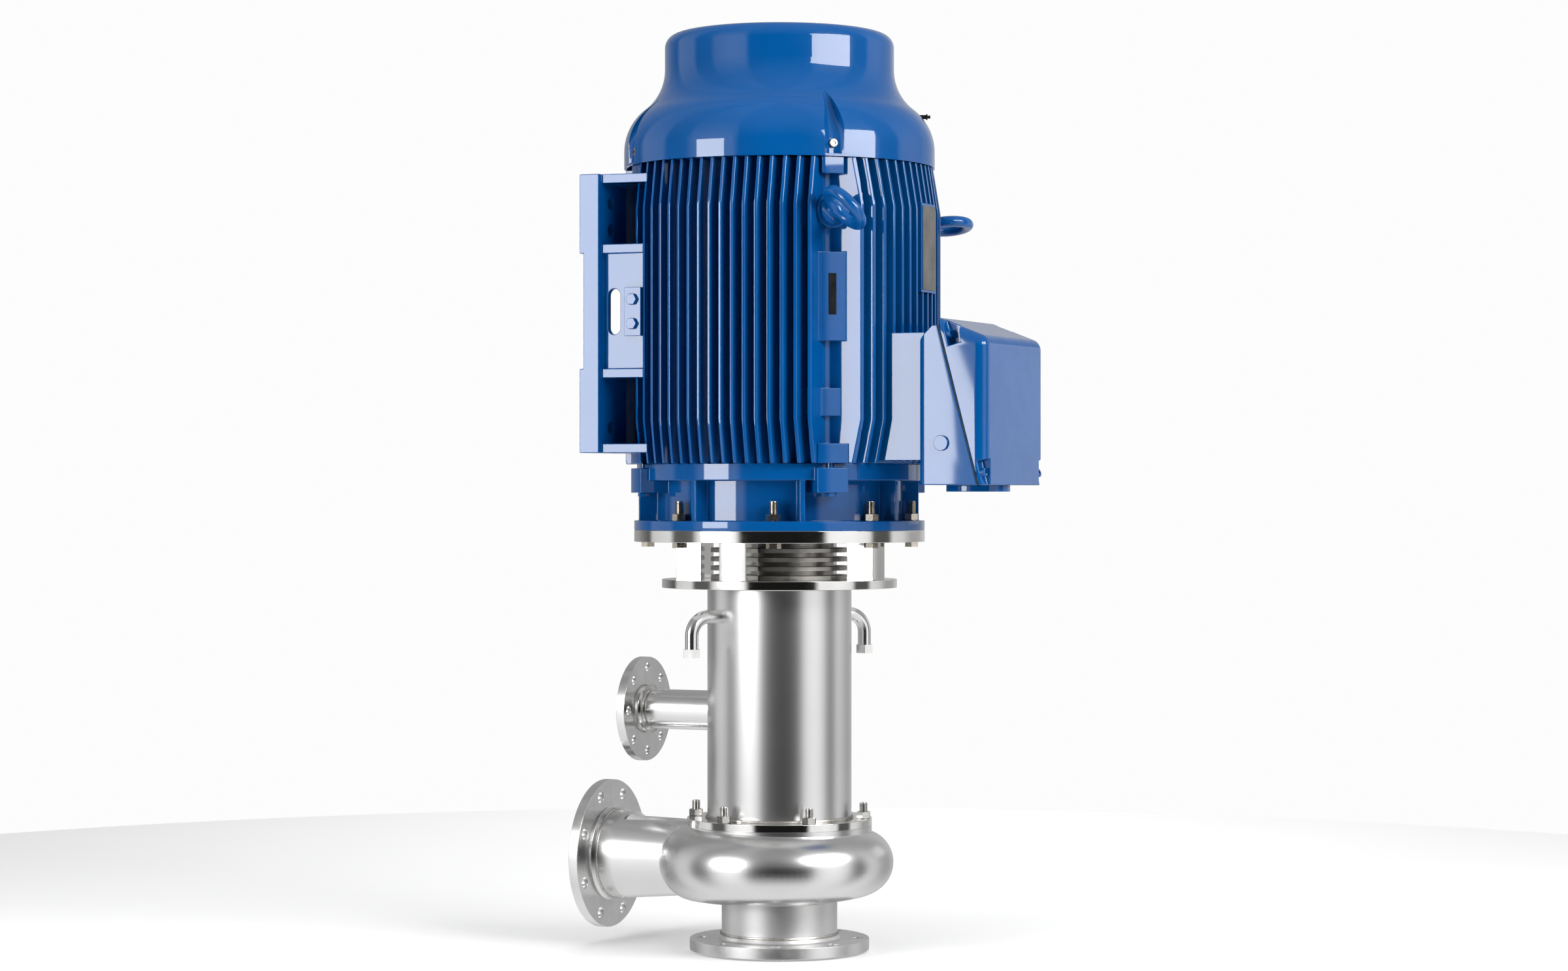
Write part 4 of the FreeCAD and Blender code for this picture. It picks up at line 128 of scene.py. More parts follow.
def newFinish(name, metallic=0.0):
    # A material with its shader, and the object's own coordinates to read patterns from.
    material = bpy.data.materials.new(name)
    material.use_nodes = True
    tree = material.node_tree
    shader = tree.nodes["Principled BSDF"]
    shader.inputs["Metallic"].default_value = metallic
    coordinates = addNode(tree, "ShaderNodeTexCoord")
    return material, tree, shader, coordinates.outputs["Object"]


def placed(tree, place, centre=(0, 0, 0), stretch=(1, 1, 1)):
    # The coordinates moved to a centre and stretched.
    mapping = addNode(tree, "ShaderNodeMapping")
    mapping.inputs["Location"].default_value = [-c * s for c, s in zip(centre, stretch)]
    mapping.inputs["Scale"].default_value = stretch
    tree.links.new(place, mapping.inputs["Vector"])
    return mapping.outputs["Vector"]


noiseRoughness = 0.55
ringForm = {"detail": 2.0, "detailScale": 3.0}


def noise(tree, place, scale, detail=3.0):
    grain = addNode(tree, "ShaderNodeTexNoise")
    grain.inputs["Scale"].default_value = scale
    grain.inputs["Detail"].default_value = detail
    grain.inputs["Roughness"].default_value = noiseRoughness
    tree.links.new(place, grain.inputs["Vector"])
    return grain.outputs["Fac"]


def rings(tree, place, axis, scale, distortion):
    # Fine turned rings about an axis through the place's origin.
    wave = addNode(tree, "ShaderNodeTexWave", wave_type="RINGS", rings_direction=axis)
    wave.inputs["Scale"].default_value = scale
    wave.inputs["Distortion"].default_value = distortion
    wave.inputs["Detail"].default_value = ringForm["detail"]
    wave.inputs["Detail Scale"].default_value = ringForm["detailScale"]
    tree.links.new(place, wave.inputs["Vector"])
    return wave.outputs["Fac"]


wholeRange = (0.0, 1.0)
noiseMiddle = (0.3, 0.7)  # the part of a noise's range that holds most of it


def spread(tree, value, low, high, source=wholeRange):
    # A pattern brought to the range that a socket wants.
    reach = addNode(tree, "ShaderNodeMapRange")
    reach.inputs["From Min"].default_value = source[0]
    reach.inputs["From Max"].default_value = source[1]
    reach.inputs["To Min"].default_value = low
    reach.inputs["To Max"].default_value = high
    tree.links.new(value, reach.inputs["Value"])
    return reach.outputs["Result"]


mixSockets = {"share": 0, "first": 6, "second": 7, "colour": 2}  # a mix node's numbers for colours


def blended(tree, share, first, second):
    # A mix node's colour, where each end is a socket or a plain colour.
    mix = addNode(tree, "ShaderNodeMix", data_type="RGBA")
    for end, colour in (("first", first), ("second", second)):
        socket = mix.inputs[mixSockets[end]]
        if isinstance(colour, tuple):
            socket.default_value = (*colour, 1)
        else:
            tree.links.new(colour, socket)
    tree.links.new(share, mix.inputs[mixSockets["share"]])
    return mix.outputs[mixSockets["colour"]]


def tint(tree, shader, pattern, dark, pale, source=noiseMiddle):
    share = spread(tree, pattern, 0.0, 1.0, source)
    tree.links.new(blended(tree, share, dark, pale), shader.inputs["Base Color"])


def roughen(tree, shader, pattern, low, high, source=noiseMiddle):
    tree.links.new(spread(tree, pattern, low, high, source), shader.inputs["Roughness"])


def relief(tree, shader, heights):
    # Stacked bumps, each a (pattern, depth in metres) pair.
    normal = None
    for pattern, depth in heights:
        bump = addNode(tree, "ShaderNodeBump")
        bump.inputs["Strength"].default_value = 1.0
        bump.inputs["Distance"].default_value = depth
        tree.links.new(pattern, bump.inputs["Height"])
        if normal:
            tree.links.new(normal, bump.inputs["Normal"])
        normal = bump.outputs["Normal"]
    tree.links.new(normal, shader.inputs["Normal"])


# Finishes: scales are per metre, reliefs in metres

enamel = {
    "deep": (0.0, 0.066, 0.24),
    "fresh": (0.0, 0.078, 0.28),
    "toneScale": 5.0,
    "rough": (0.3, 0.45),
    "roughScale": 28.0,
    "roughSource": (0.35, 0.65),
    "specular": 0.04,
    "coat": 1.0,
    "coatRoughness": 0.045,
    "waveScale": 26.0,
    "dimpleScale": 160.0,
    "dimpleShare": 0.22,
    "sprayScale": 620.0,
}

enamels = {  # depth of the casting's waves and of the spray's grain
    "castEnamel": {"waves": 0.0009, "spray": 0.00004},
    "smoothEnamel": {"waves": 0.0003, "spray": 0.00001},
}


def makeEnamel(name, look):
    # Gloss blue paint: long waves from the casting under it, short ones from the spray.
    material, tree, shader, place = newFinish(name)
    tint(tree, shader, noise(tree, place, enamel["toneScale"], detail=4.0), enamel["deep"], enamel["fresh"])
    roughen(tree, shader, noise(tree, place, enamel["roughScale"], detail=5.0), *enamel["rough"],
            enamel["roughSource"])
    shader.inputs["Coat Weight"].default_value = enamel["coat"]
    shader.inputs["Coat Roughness"].default_value = enamel["coatRoughness"]
    shader.inputs["Specular IOR Level"].default_value = enamel["specular"]
    relief(tree, shader, [
        (noise(tree, place, enamel["waveScale"], detail=2.0), look["waves"]),
        (noise(tree, place, enamel["dimpleScale"], detail=3.0), look["waves"] * enamel["dimpleShare"]),
        (noise(tree, place, enamel["sprayScale"], detail=2.0), look["spray"]),
    ])
    return material


steelPale = (0.82, 0.82, 0.82)
steelDark = (0.72, 0.72, 0.718)
evenGrain = (1, 1, 1)
roundGrain = (1, 1, 14)  # lines that run round an upright pipe

steelPattern = {"cloudScale": 4.0, "cloudSource": (0.25, 0.75), "swellScale": 7.0, "swellTimes": 10}

steels = {
    "volutePolish": {"rough": (0.25, 0.28), "grain": 10.0, "stretch": evenGrain, "anisotropy": 0.0,
                     "relief": 0.000003},
    "columnPolish": {"rough": (0.275, 0.285), "grain": 60.0, "stretch": roundGrain, "anisotropy": 0.4,
                     "relief": 0.0000003},
    "suctionSatin": {"rough": (0.40, 0.46), "grain": 60.0, "stretch": roundGrain, "anisotropy": 0.3,
                     "relief": 0.000001},
    "pipePolish": {"rough": (0.16, 0.22), "grain": 20.0, "stretch": evenGrain, "anisotropy": 0.0,
                   "relief": 0.000002},
}


def makeSteel(name, look):
    # Bare stainless steel with a grain stretched along the way it was polished.
    material, tree, shader, place = newFinish(name, metallic=1.0)
    tint(tree, shader, noise(tree, place, steelPattern["cloudScale"]), steelDark, steelPale,
         steelPattern["cloudSource"])
    fine = noise(tree, placed(tree, place, stretch=look["stretch"]), look["grain"])
    roughen(tree, shader, fine, *look["rough"])
    if look["anisotropy"]:
        shader.inputs["Anisotropic"].default_value = look["anisotropy"]
        tangent = addNode(tree, "ShaderNodeTangent", direction_type="RADIAL", axis="Z")
        tree.links.new(tangent.outputs["Tangent"], shader.inputs["Tangent"])
    swell = noise(tree, place, steelPattern["swellScale"], detail=1.0)
    relief(tree, shader, [(swell, look["relief"] * steelPattern["swellTimes"]), (fine, look["relief"])])
    return material


turnedPattern = {"rings": 160.0, "distortion": 0.4, "cloudScale": 11.0, "roughScale": 45.0, "swellScale": 18.0,
                 "swellTimes": 6}

turnedSteels = {  # the axis and centre are those that the piece was turned about
    "suctionTurned": {"axis": "Z", "centre": (0, 0, 0), "pale": steelPale, "dark": steelDark,
                      "rough": (0.36, 0.44), "relief": 0.000004},
    "dischargeTurned": {"axis": "X", "centre": (0, 0, dischargeHeight), "pale": steelPale,
                        "dark": steelDark, "rough": (0.2, 0.3), "relief": 0.000006},
    "branchTurned": {"axis": "X", "centre": (0, 0, branchHeight), "pale": steelPale, "dark": steelDark,
                     "rough": (0.14, 0.22), "relief": 0.00001},
    "lanternTurned": {"axis": "Z", "centre": (0, 0, 0), "pale": (0.86, 0.855, 0.84),
                      "dark": (0.74, 0.735, 0.72), "rough": (0.06, 0.12), "relief": 0.000006},
    "groundShaft": {"axis": "Z", "centre": (0, 0, 0), "pale": (0.70, 0.70, 0.69),
                    "dark": (0.58, 0.58, 0.57), "rough": (0.16, 0.24), "relief": 0.00001},
}


def makeTurned(name, look):
    # A lathe's finish: fine rings about the piece's own axis.
    material, tree, shader, place = newFinish(name, metallic=1.0)
    grooves = rings(tree, placed(tree, place, look["centre"]), look["axis"], turnedPattern["rings"],
                    turnedPattern["distortion"])
    tint(tree, shader, noise(tree, place, turnedPattern["cloudScale"], detail=5.0), look["dark"], look["pale"])
    roughen(tree, shader, noise(tree, place, turnedPattern["roughScale"], detail=4.0), *look["rough"])
    swell = noise(tree, place, turnedPattern["swellScale"], detail=2.0)
    relief(tree, shader, [(grooves, look["relief"]), (swell, look["relief"] * turnedPattern["swellTimes"])])
    return material


plainPattern = {"rough": (0.75, 1.3), "roughTimes": 4, "reliefTimes": 9}

plainMetals = {
    "housingIron": {"pale": (0.46, 0.44, 0.42), "dark": (0.34, 0.33, 0.31), "rough": 0.42, "scale": 20.0,
                    "relief": 0.00005},
    "zincFastener": {"pale": (0.66, 0.61, 0.54), "dark": (0.48, 0.43, 0.36), "rough": 0.24, "scale": 60.0,
                     "relief": 0.00002},
    "brightFastener": {"pale": (0.74, 0.73, 0.71), "dark": (0.60, 0.59, 0.57), "rough": 0.2, "scale": 60.0,
                       "relief": 0.00002},
    "bearingSteel": {"pale": (0.70, 0.70, 0.71), "dark": (0.58, 0.58, 0.59), "rough": 0.14, "scale": 40.0,
                     "relief": 0.000005},
    "castAluminium": {"pale": (0.76, 0.77, 0.78), "dark": (0.64, 0.65, 0.66), "rough": 0.42, "scale": 25.0,
                      "relief": 0.0002},
    "weldBead": {"pale": (0.70, 0.68, 0.65), "dark": (0.50, 0.48, 0.45), "rough": 0.32, "scale": 90.0,
                 "relief": 0.00006},
    "plateBrushed": {"pale": (0.30, 0.29, 0.28), "dark": (0.20, 0.20, 0.19), "rough": 0.5, "scale": 35.0,
                     "relief": 0.00001},
}


def makePlainMetal(name, look):
    material, tree, shader, place = newFinish(name, metallic=1.0)
    scale = look["scale"]
    tint(tree, shader, noise(tree, place, scale, detail=5.0), look["dark"], look["pale"])
    low, high = (look["rough"] * share for share in plainPattern["rough"])
    roughen(tree, shader, noise(tree, place, scale * plainPattern["roughTimes"], detail=4.0), low, high)
    relief(tree, shader, [(noise(tree, place, scale * plainPattern["reliefTimes"]), look["relief"])])
    return material


mouldingPattern = {"rough": (0.8, 1.2), "cloudShare": 0.2, "roughShare": 0.5}

mouldings = {
    "sealingSheet": {"dark": (0.012, 0.012, 0.012), "pale": (0.03, 0.03, 0.03), "rough": 0.7, "scale": 300.0,
                     "specular": 0.5, "relief": 0.00006},
    "blackMoulding": {"dark": (0.02, 0.02, 0.02), "pale": (0.05, 0.05, 0.05), "rough": 0.45, "scale": 240.0,
                      "specular": 0.5, "relief": 0.00004},
    "darkPlate": {"dark": (0.006, 0.006, 0.006), "pale": (0.018, 0.018, 0.018), "rough": 0.6, "scale": 200.0,
                  "specular": 0.04, "relief": 0.00002},
}


def makeMoulding(name, look):
    # Plastic, rubber or sealing sheet with a fine grain.
    material, tree, shader, place = newFinish(name)
    scale = look["scale"]
    cloud = noise(tree, place, scale * mouldingPattern["cloudShare"], detail=4.0)
    tint(tree, shader, cloud, look["dark"], look["pale"])
    low, high = (look["rough"] * share for share in mouldingPattern["rough"])
    roughen(tree, shader, noise(tree, place, scale * mouldingPattern["roughShare"]), low, high)
    shader.inputs["Specular IOR Level"].default_value = look["specular"]
    relief(tree, shader, [(noise(tree, place, scale), look["relief"])])
    return material


sheetStacks = {
    "sheetStack": {"gap": (0.12, 0.12, 0.13), "edge": (0.33, 0.33, 0.35), "metallic": 0.85, "lines": 320.0,
                   "rough": (0.4, 0.6), "roughScale": 70.0, "relief": 0.0001},
}


def makeSheetStack(name, look):
    # Stamped electrical sheets, seen as fine lines along the shaft.
    material, tree, shader, place = newFinish(name, look["metallic"])
    stripes = addNode(tree, "ShaderNodeTexWave", wave_type="BANDS", bands_direction="Z")
    stripes.inputs["Scale"].default_value = look["lines"]
    tree.links.new(place, stripes.inputs["Vector"])
    tint(tree, shader, stripes.outputs["Fac"], look["gap"], look["edge"], wholeRange)
    roughen(tree, shader, noise(tree, place, look["roughScale"]), *look["rough"], wholeRange)
    relief(tree, shader, [(stripes.outputs["Fac"], look["relief"])])
    return material


windings = {
    "copperTurns": {"shade": (0.22, 0.07, 0.02), "copper": (0.62, 0.27, 0.10), "metallic": 0.7, "turns": 150.0,
                    "distortion": 2.5, "rough": (0.5, 0.3), "relief": 0.0008},
}


def makeWinding(name, look):
    # Varnished copper wire wound round the core's ends.
    material, tree, shader, place = newFinish(name, look["metallic"])
    turns = rings(tree, place, "Z", look["turns"], look["distortion"])
    tint(tree, shader, turns, look["shade"], look["copper"], wholeRange)
    roughen(tree, shader, turns, *look["rough"], wholeRange)
    relief(tree, shader, [(turns, look["relief"])])
    return material


finishes = {}
for make, looks in ((makeEnamel, enamels), (makeSteel, steels), (makeTurned, turnedSteels),
                    (makePlainMetal, plainMetals), (makeMoulding, mouldings), (makeSheetStack, sheetStacks),
                    (makeWinding, windings)):
    for name, look in looks.items():
        finishes[name] = make(name, look)

finishOfSlot = {
    "motor_paint": "castEnamel",
    "polished_steel": "pipePolish",
    "machined_steel": "lanternTurned",
    "grey_iron": "housingIron",
    "fasteners": "zincFastener",
    "bearing_steel": "bearingSteel",
    "shaft_steel": "groundShaft",
    "core_sheet": "sheetStack",
    "copper_winding": "copperTurns",
    "cast_aluminium": "castAluminium",
    "gasket": "sealingSheet",
    "moulded_plastic": "blackMoulding",
    "plate_steel": "plateBrushed",
    "dark_plate": "darkPlate",
}

finishOfNode = {  # nodes whose finish isn't their slot's own
    "volute_casing": "volutePolish",
    "discharge_nozzle": "volutePolish",
    "suction_pipe": "suctionSatin",
    "column_pipe": "columnPolish",
    "column_lower_flange": "lanternTurned",
    "motor_screws": "smoothEnamel",
    "casing_studs": "brightFastener",
    "casing_nuts": "brightFastener",
    "suction_flange": "suctionTurned",
    "discharge_flange": "dischargeTurned",
    "branch_flange": "branchTurned",
    "fan_cover": "smoothEnamel",
    "air_inlet_grille": "smoothEnamel",
}

slotOfNode = {row["node"]: row["material_slot"] for row in frame["record"]["subparts"]}


def finishFor(nodeName):
    return finishes[finishOfNode.get(nodeName, finishOfSlot[slotOfNode[nodeName]])]


for nodeName, node in cad.items():
    node.data.materials.clear()
    node.data.materials.append(finishFor(nodeName))
print("finishes made:", len(finishes))


# Mesh helpers

sharpAngle = 40  # degrees between faces from which an edge stays sharp
joinReach = 1e-7
closeReach = 1e-8


def dress(bm, name, nodeName, finish=None):
    # Turn a bmesh into a finished piece that rides where its node rides.
    mesh = bpy.data.meshes.new(name)
    bm.to_mesh(mesh)
    bm.free()
    mesh.shade_smooth()
    mesh.set_sharp_from_angle(angle=math.radians(sharpAngle))
    mesh.materials.append(finish or finishFor(nodeName))
    piece = bpy.data.objects.new(name, mesh)
    bpy.context.scene.collection.objects.link(piece)
    weighted = piece.modifiers.new("evenShading", "WEIGHTED_NORMAL")
    weighted.keep_sharp = True
    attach(piece, cad[nodeName]["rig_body"])
    return piece


softEdges = {  # edge radius in metres on each casting or turned piece
    "motor_frame": 0.0014,
    "drive_end_shield": 0.0014,
    "terminal_box": 0.002,
    "terminal_box_lid": 0.002,
    "lantern_plate": 0.0008,
    "lantern_ring": 0.0008,
    "lantern_posts": 0.001,
    "column_lower_flange": 0.0008,
    "suction_flange": 0.001,
    "discharge_flange": 0.001,
    "branch_flange": 0.0008,
    "bearing_housing": 0.0006,
    "earth_terminal": 0.0008,
    "cable_entry_plate": 0.001,
    "side_plug": 0.001,
    "nameplate": 0.0003,
}

bevelReach = {"leastAngle": 35, "mostAngle": 125, "leastLength": 0.0005, "flatAngle": 0.3, "joinReach": 2e-6}


def softened(nodeName, width):
    # The node's own shape with its sharp edges rounded off.
    bm = bmesh.new()
    bm.from_mesh(cad[nodeName].data)
    bmesh.ops.remove_doubles(bm, verts=bm.verts, dist=bevelReach["joinReach"])
    bmesh.ops.dissolve_limit(bm, angle_limit=math.radians(bevelReach["flatAngle"]), verts=bm.verts,
                             edges=bm.edges)
    sharp = [edge for edge in bm.edges if edge.is_manifold and edge.calc_length() > bevelReach["leastLength"]
             and bevelReach["leastAngle"] < math.degrees(edge.calc_face_angle(0)) < bevelReach["mostAngle"]]
    bmesh.ops.bevel(bm, geom=sharp, offset=width, offset_type="OFFSET", segments=2, profile=0.5,
                    affect="EDGES", clamp_overlap=False, material=-1)
    piece = dress(bm, nodeName + "_soft", nodeName)
    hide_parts(nodeName)
    return piece


for nodeName, width in softEdges.items():
    piece = softened(nodeName, width)
    print("softened", nodeName, len(piece.data.polygons))


def prism(bm, sides, radii, bottom, top, matrix=Matrix()):
    # A prism, rod or cone between two heights, with its lower and upper radius, moved by a matrix.
    bmesh.ops.create_cone(bm, cap_ends=True, segments=sides, radius1=radii[0], radius2=radii[1],
                          depth=top - bottom, matrix=matrix @ Matrix.Translation((0, 0, (bottom + top) / 2)))


def hexPrism(bm, width, bottom, top):
    corner = width / math.sqrt(3)
    prism(bm, 6, (corner, corner), bottom, top)


def lathed(bm, profile, steps=48):
    # A (radius, height) profile turned once round Z.
    verts = [bm.verts.new((radius, 0, height)) for radius, height in profile]
    loop = [bm.edges.new(pair) for pair in zip(verts, verts[1:] + verts[:1])]
    bmesh.ops.spin(bm, geom=verts + loop, cent=(0, 0, 0), axis=upAxis, angle=2 * math.pi, steps=steps,
                   use_merge=True, use_duplicate=False)
    bmesh.ops.remove_doubles(bm, verts=bm.verts, dist=joinReach)
    bmesh.ops.dissolve_degenerate(bm, edges=bm.edges, dist=closeReach)
    bmesh.ops.recalc_face_normals(bm, faces=bm.faces)


def carved(first, second, operation):
    # One bmesh combined with another through a Boolean; both are used up.
    pair = []
    for bm in (first, second):
        mesh = bpy.data.meshes.new("carving")
        bm.to_mesh(mesh)
        bm.free()
        pair.append(bpy.data.objects.new("carving", mesh))
        bpy.context.scene.collection.objects.link(pair[-1])
    cut = pair[0].modifiers.new("cut", "BOOLEAN")
    cut.operation = operation
    cut.solver = "EXACT"
    cut.object = pair[1]
    graph = bpy.context.evaluated_depsgraph_get()
    result = bmesh.new()
    result.from_mesh(pair[0].evaluated_get(graph).to_mesh())
    for piece in pair:
        bpy.data.objects.remove(piece)
    return result


def merged(target, source, matrix):
    # Add one bmesh to another, moved by a matrix.
    mesh = bpy.data.meshes.new("joined")
    source.to_mesh(mesh)
    mesh.transform(matrix)
    target.from_mesh(mesh)
    bpy.data.meshes.remove(mesh)


def ringOf(bm, count, radius, firstAngle):
    # Copies of what is drawn on the axis, in a ring round it.
    whole = bmesh.new()
    for index in range(count):
        turn = Matrix.Rotation(math.radians(firstAngle + 360 * index / count), 4, "Z")
        merged(whole, bm, turn @ Matrix.Translation((radius, 0, 0)))
    bm.free()
    return whole


def alongNode(direction, point):
    # Turn what is drawn along +Z to a direction and move it to a point.
    return Matrix.Translation(point) @ direction.to_track_quat("Z", "Y").to_matrix().to_4x4()


def outwards(degrees):
    turn = math.radians(degrees)
    return Vector((math.cos(turn), math.sin(turn), 0))


def replaced(nodeName, bm):
    bmesh.ops.remove_doubles(bm, verts=bm.verts, dist=joinReach)
    bmesh.ops.recalc_face_normals(bm, faces=bm.faces)
    piece = dress(bm, nodeName + "_detail", nodeName)
    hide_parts(nodeName)
    print("detailed", nodeName, len(piece.data.polygons))


# Hexagon bolts, studs and nuts, in metres

hexForm = {"flatShare": 0.475, "slope": 0.58, "overlap": 0.0002, "holeEdge": 0.0008}
threadForm = {"depthShare": 0.5, "runOut": 0.75, "steps": 16, "tipLength": 0.0016, "tipInset": 0.0012,
              "coreSteps": 24}
shankSteps = 32


def chamferedHex(width, bottom, top, hole=0.0, bothEnds=False):
    # A hexagon with its corners turned off at the top or at both ends, and a nut's hole.
    bm = bmesh.new()
    hexPrism(bm, width, bottom, top)
    flat = width * hexForm["flatShare"]
    rim = width / math.sqrt(3) + hexForm["overlap"]
    drop = (rim - width / 2) * hexForm["slope"]
    profile = [(flat, top), (rim, top - drop)]
    profile += [(rim, bottom + drop), (flat, bottom)] if bothEnds else [(rim, bottom)]
    if hole:
        edge = hexForm["holeEdge"]
        profile = [(hole + edge, top)] + profile
        profile += [(hole + edge, bottom), (hole, bottom + edge), (hole, top - edge)]
    else:
        profile = [(0, top)] + profile + [(0, bottom)]
    turnedBody = bmesh.new()
    lathed(turnedBody, profile)
    return carved(bm, turnedBody, "INTERSECT")


def threadedEnd(bm, radius, bottom, top, pitch):
    # A helix of thread round a core with a chamfered tip.
    core = radius - pitch * threadForm["depthShare"]
    start = [bm.verts.new((core, 0, bottom - pitch / 2)), bm.verts.new((radius, 0, bottom)),
             bm.verts.new((core, 0, bottom + pitch / 2))]
    edges = [bm.edges.new(pair) for pair in zip(start, start[1:])]
    turns = int((top - bottom) / pitch - threadForm["runOut"])
    bmesh.ops.spin(bm, geom=start + edges, cent=(0, 0, 0), axis=upAxis, angle=2 * math.pi * turns,
                   steps=threadForm["steps"] * turns, dvec=(0, 0, pitch / threadForm["steps"]),
                   use_duplicate=False)
    lathed(bm, [(0, bottom - pitch), (core, bottom - pitch), (core, top - threadForm["tipLength"]),
                (core - threadForm["tipInset"], top), (0, top)], threadForm["coreSteps"])


motorFastening = {"count": 8, "circle": 0.25, "first": 22.5, "width": 0.024, "shank": 0.008, "pitch": 0.002,
                  "headLow": lowest("motor_bolts"), "shankLow": lowest("lantern_ring"),
                  "nutLow": lowest("motor_nuts"), "nutTop": highest("motor_nuts"),
                  "end": highest("motor_bolts")}
casingFastening = {"count": 6, "circle": 0.161, "first": 15, "width": 0.024, "shank": 0.008, "pitch": 0.002,
                   "shankLow": lowest("casing_studs"), "nutLow": lowest("casing_nuts"),
                   "nutTop": highest("casing_nuts"), "end": highest("casing_studs")}


def boltRing(size):
    # Bolts, or studs where no head is given: plain up to the nut and threaded from there.
    bm = chamferedHex(size["width"], size["headLow"], size["shankLow"]) if "headLow" in size else bmesh.new()
    lathed(bm, [(0, size["shankLow"]), (size["shank"], size["shankLow"]), (size["shank"], size["nutLow"]),
                (0, size["nutLow"])], shankSteps)
    threadedEnd(bm, size["shank"], size["nutLow"] + size["pitch"], size["end"], size["pitch"])
    return ringOf(bm, size["count"], size["circle"], size["first"])


def nutRing(size):
    bm = chamferedHex(size["width"], size["nutLow"], size["nutTop"], size["shank"], True)
    return ringOf(bm, size["count"], size["circle"], size["first"])


replaced("motor_bolts", boltRing(motorFastening))
replaced("motor_nuts", nutRing(motorFastening))
replaced("casing_studs", boltRing(casingFastening))
replaced("casing_nuts", nutRing(casingFastening))

cornerScrew = {"count": 4, "circle": 0.27, "first": 45, "width": 0.0192, "headHeight": 0.0072, "shank": 0.006,
               "low": lowest("motor_screws"), "end": highest("motor_screws"), "tip": 0.001, "steps": 24}


def cornerScrews(size):
    # Heads below the shield's corners, with the hexagon's corners turned off at both ends.
    top = size["low"] + size["headHeight"]
    bm = chamferedHex(size["width"], size["low"], top, bothEnds=True)
    lathed(bm, [(0, top), (size["shank"], top), (size["shank"], size["end"] - size["tip"]),
                (size["shank"] - size["tip"], size["end"]), (0, size["end"])], size["steps"])
    return ringOf(bm, size["count"], size["circle"], size["first"])


replaced("motor_screws", cornerScrews(cornerScrew))


# Socket screws of the lid and the fan cover

headForm = {"edge": 0.0012, "edgeShare": 0.3, "bendInset": 0.35, "bendDrop": 0.3, "cutAbove": 0.001}


def socketScrew(size):
    # A round head with a hexagon socket in its end, along +Z.
    bm = bmesh.new()
    end, head, radius = size["end"], size["head"], size["radius"]
    edge = min(headForm["edge"], (end - size["headStart"]) * headForm["edgeShare"])
    lathed(bm, [(0, size["start"]), (radius, size["start"]), (radius, size["headStart"]),
                (head, size["headStart"]), (head, end - edge),
                (head - edge * headForm["bendInset"], end - edge * headForm["bendDrop"]), (head - edge, end),
                (0, end)], shankSteps)
    tool = bmesh.new()
    hexPrism(tool, size["socket"], end - size["depth"], end + headForm["cutAbove"])
    return carved(bm, tool, "DIFFERENCE")


lidFastening = {"bottom": (highest("terminal_box", "x"), lowest("terminal_box")),
                "top": (0.385, highest("terminal_box")), "reach": 0.137, "inset": 0.020, "radius": 0.005,
                "start": -0.020, "headStart": 0.010, "end": 0.018, "head": 0.008, "socket": 0.008,
                "depth": 0.004}


def lidScrews(size):
    # One screw near each end of the lid's slanting joint, on both sides of the box.
    low = Vector((size["bottom"][0], 0, size["bottom"][1]))
    high = Vector((size["top"][0], 0, size["top"][1]))
    way = (high - low).normalized()
    away = Vector((way.z, 0, -way.x))
    whole = bmesh.new()
    screw = socketScrew(size)
    for side in (-1, 1):
        for along in (size["inset"], (high - low).length - size["inset"]):
            point = low + way * along + Vector((0, side * size["reach"], 0))
            merged(whole, screw, alongNode(away, point))
    screw.free()
    return whole


replaced("lid_screws", lidScrews(lidFastening))

lidCorner = {"front": highest("terminal_box_lid", "x"), "halfWidth": highest("terminal_box_lid", "y"),
             "round": 0.022, "inset": 0.0001, "bottom": 0.930, "top": 1.1319, "steps": 96}


def lidCorners(size):
    # Round-topped rods just under the lid's rounded front corners, which close its wall there.
    bm = bmesh.new()
    radius = size["round"] - size["inset"]
    for side in (-1, 1):
        middle = (size["front"] - size["round"], side * (size["halfWidth"] - size["round"]))
        prism(bm, size["steps"], (radius, radius), size["bottom"], size["top"],
              Matrix.Translation((*middle, 0)))
        bmesh.ops.create_uvsphere(bm, u_segments=size["steps"], v_segments=size["steps"] // 2, radius=radius,
                                  matrix=Matrix.Translation((*middle, size["top"])))
    return bm


dress(lidCorners(lidCorner), "lidCornerRods", "terminal_box_lid")
print("lid corners closed")

coverFastening = {"count": 4, "first": 45, "height": middleHeight("fan_cover_screws"), "start": 0.2777,
                  "headStart": 0.2844, "end": 0.2894, "radius": 0.004, "head": 0.008, "socket": 0.008,
                  "depth": 0.003}


def coverScrews(size):
    screw = socketScrew(size)
    whole = bmesh.new()
    for index in range(size["count"]):
        direction = outwards(size["first"] + 360 / size["count"] * index)
        merged(whole, screw, alongNode(direction, upAxis * size["height"]))
    screw.free()
    return whole


replaced("fan_cover_screws", coverScrews(coverFastening))

nipple = {  # the tip's points are shares of the stem's radius and distances back from its end
    "angle": 25.0,
    "height": middleHeight("grease_nipple"),
    "inner": 0.258,
    "reach": 0.286,
    "radius": 0.004,
    "head": 0.0055,
    "headStart": 0.008,
    "headEnd": 0.0055,
    "tip": [(0.6, 0.0048), (0.6, 0.0036), (0.85, 0.0026), (0.8, 0.0008), (0.4, 0)],
    "steps": 24,
}


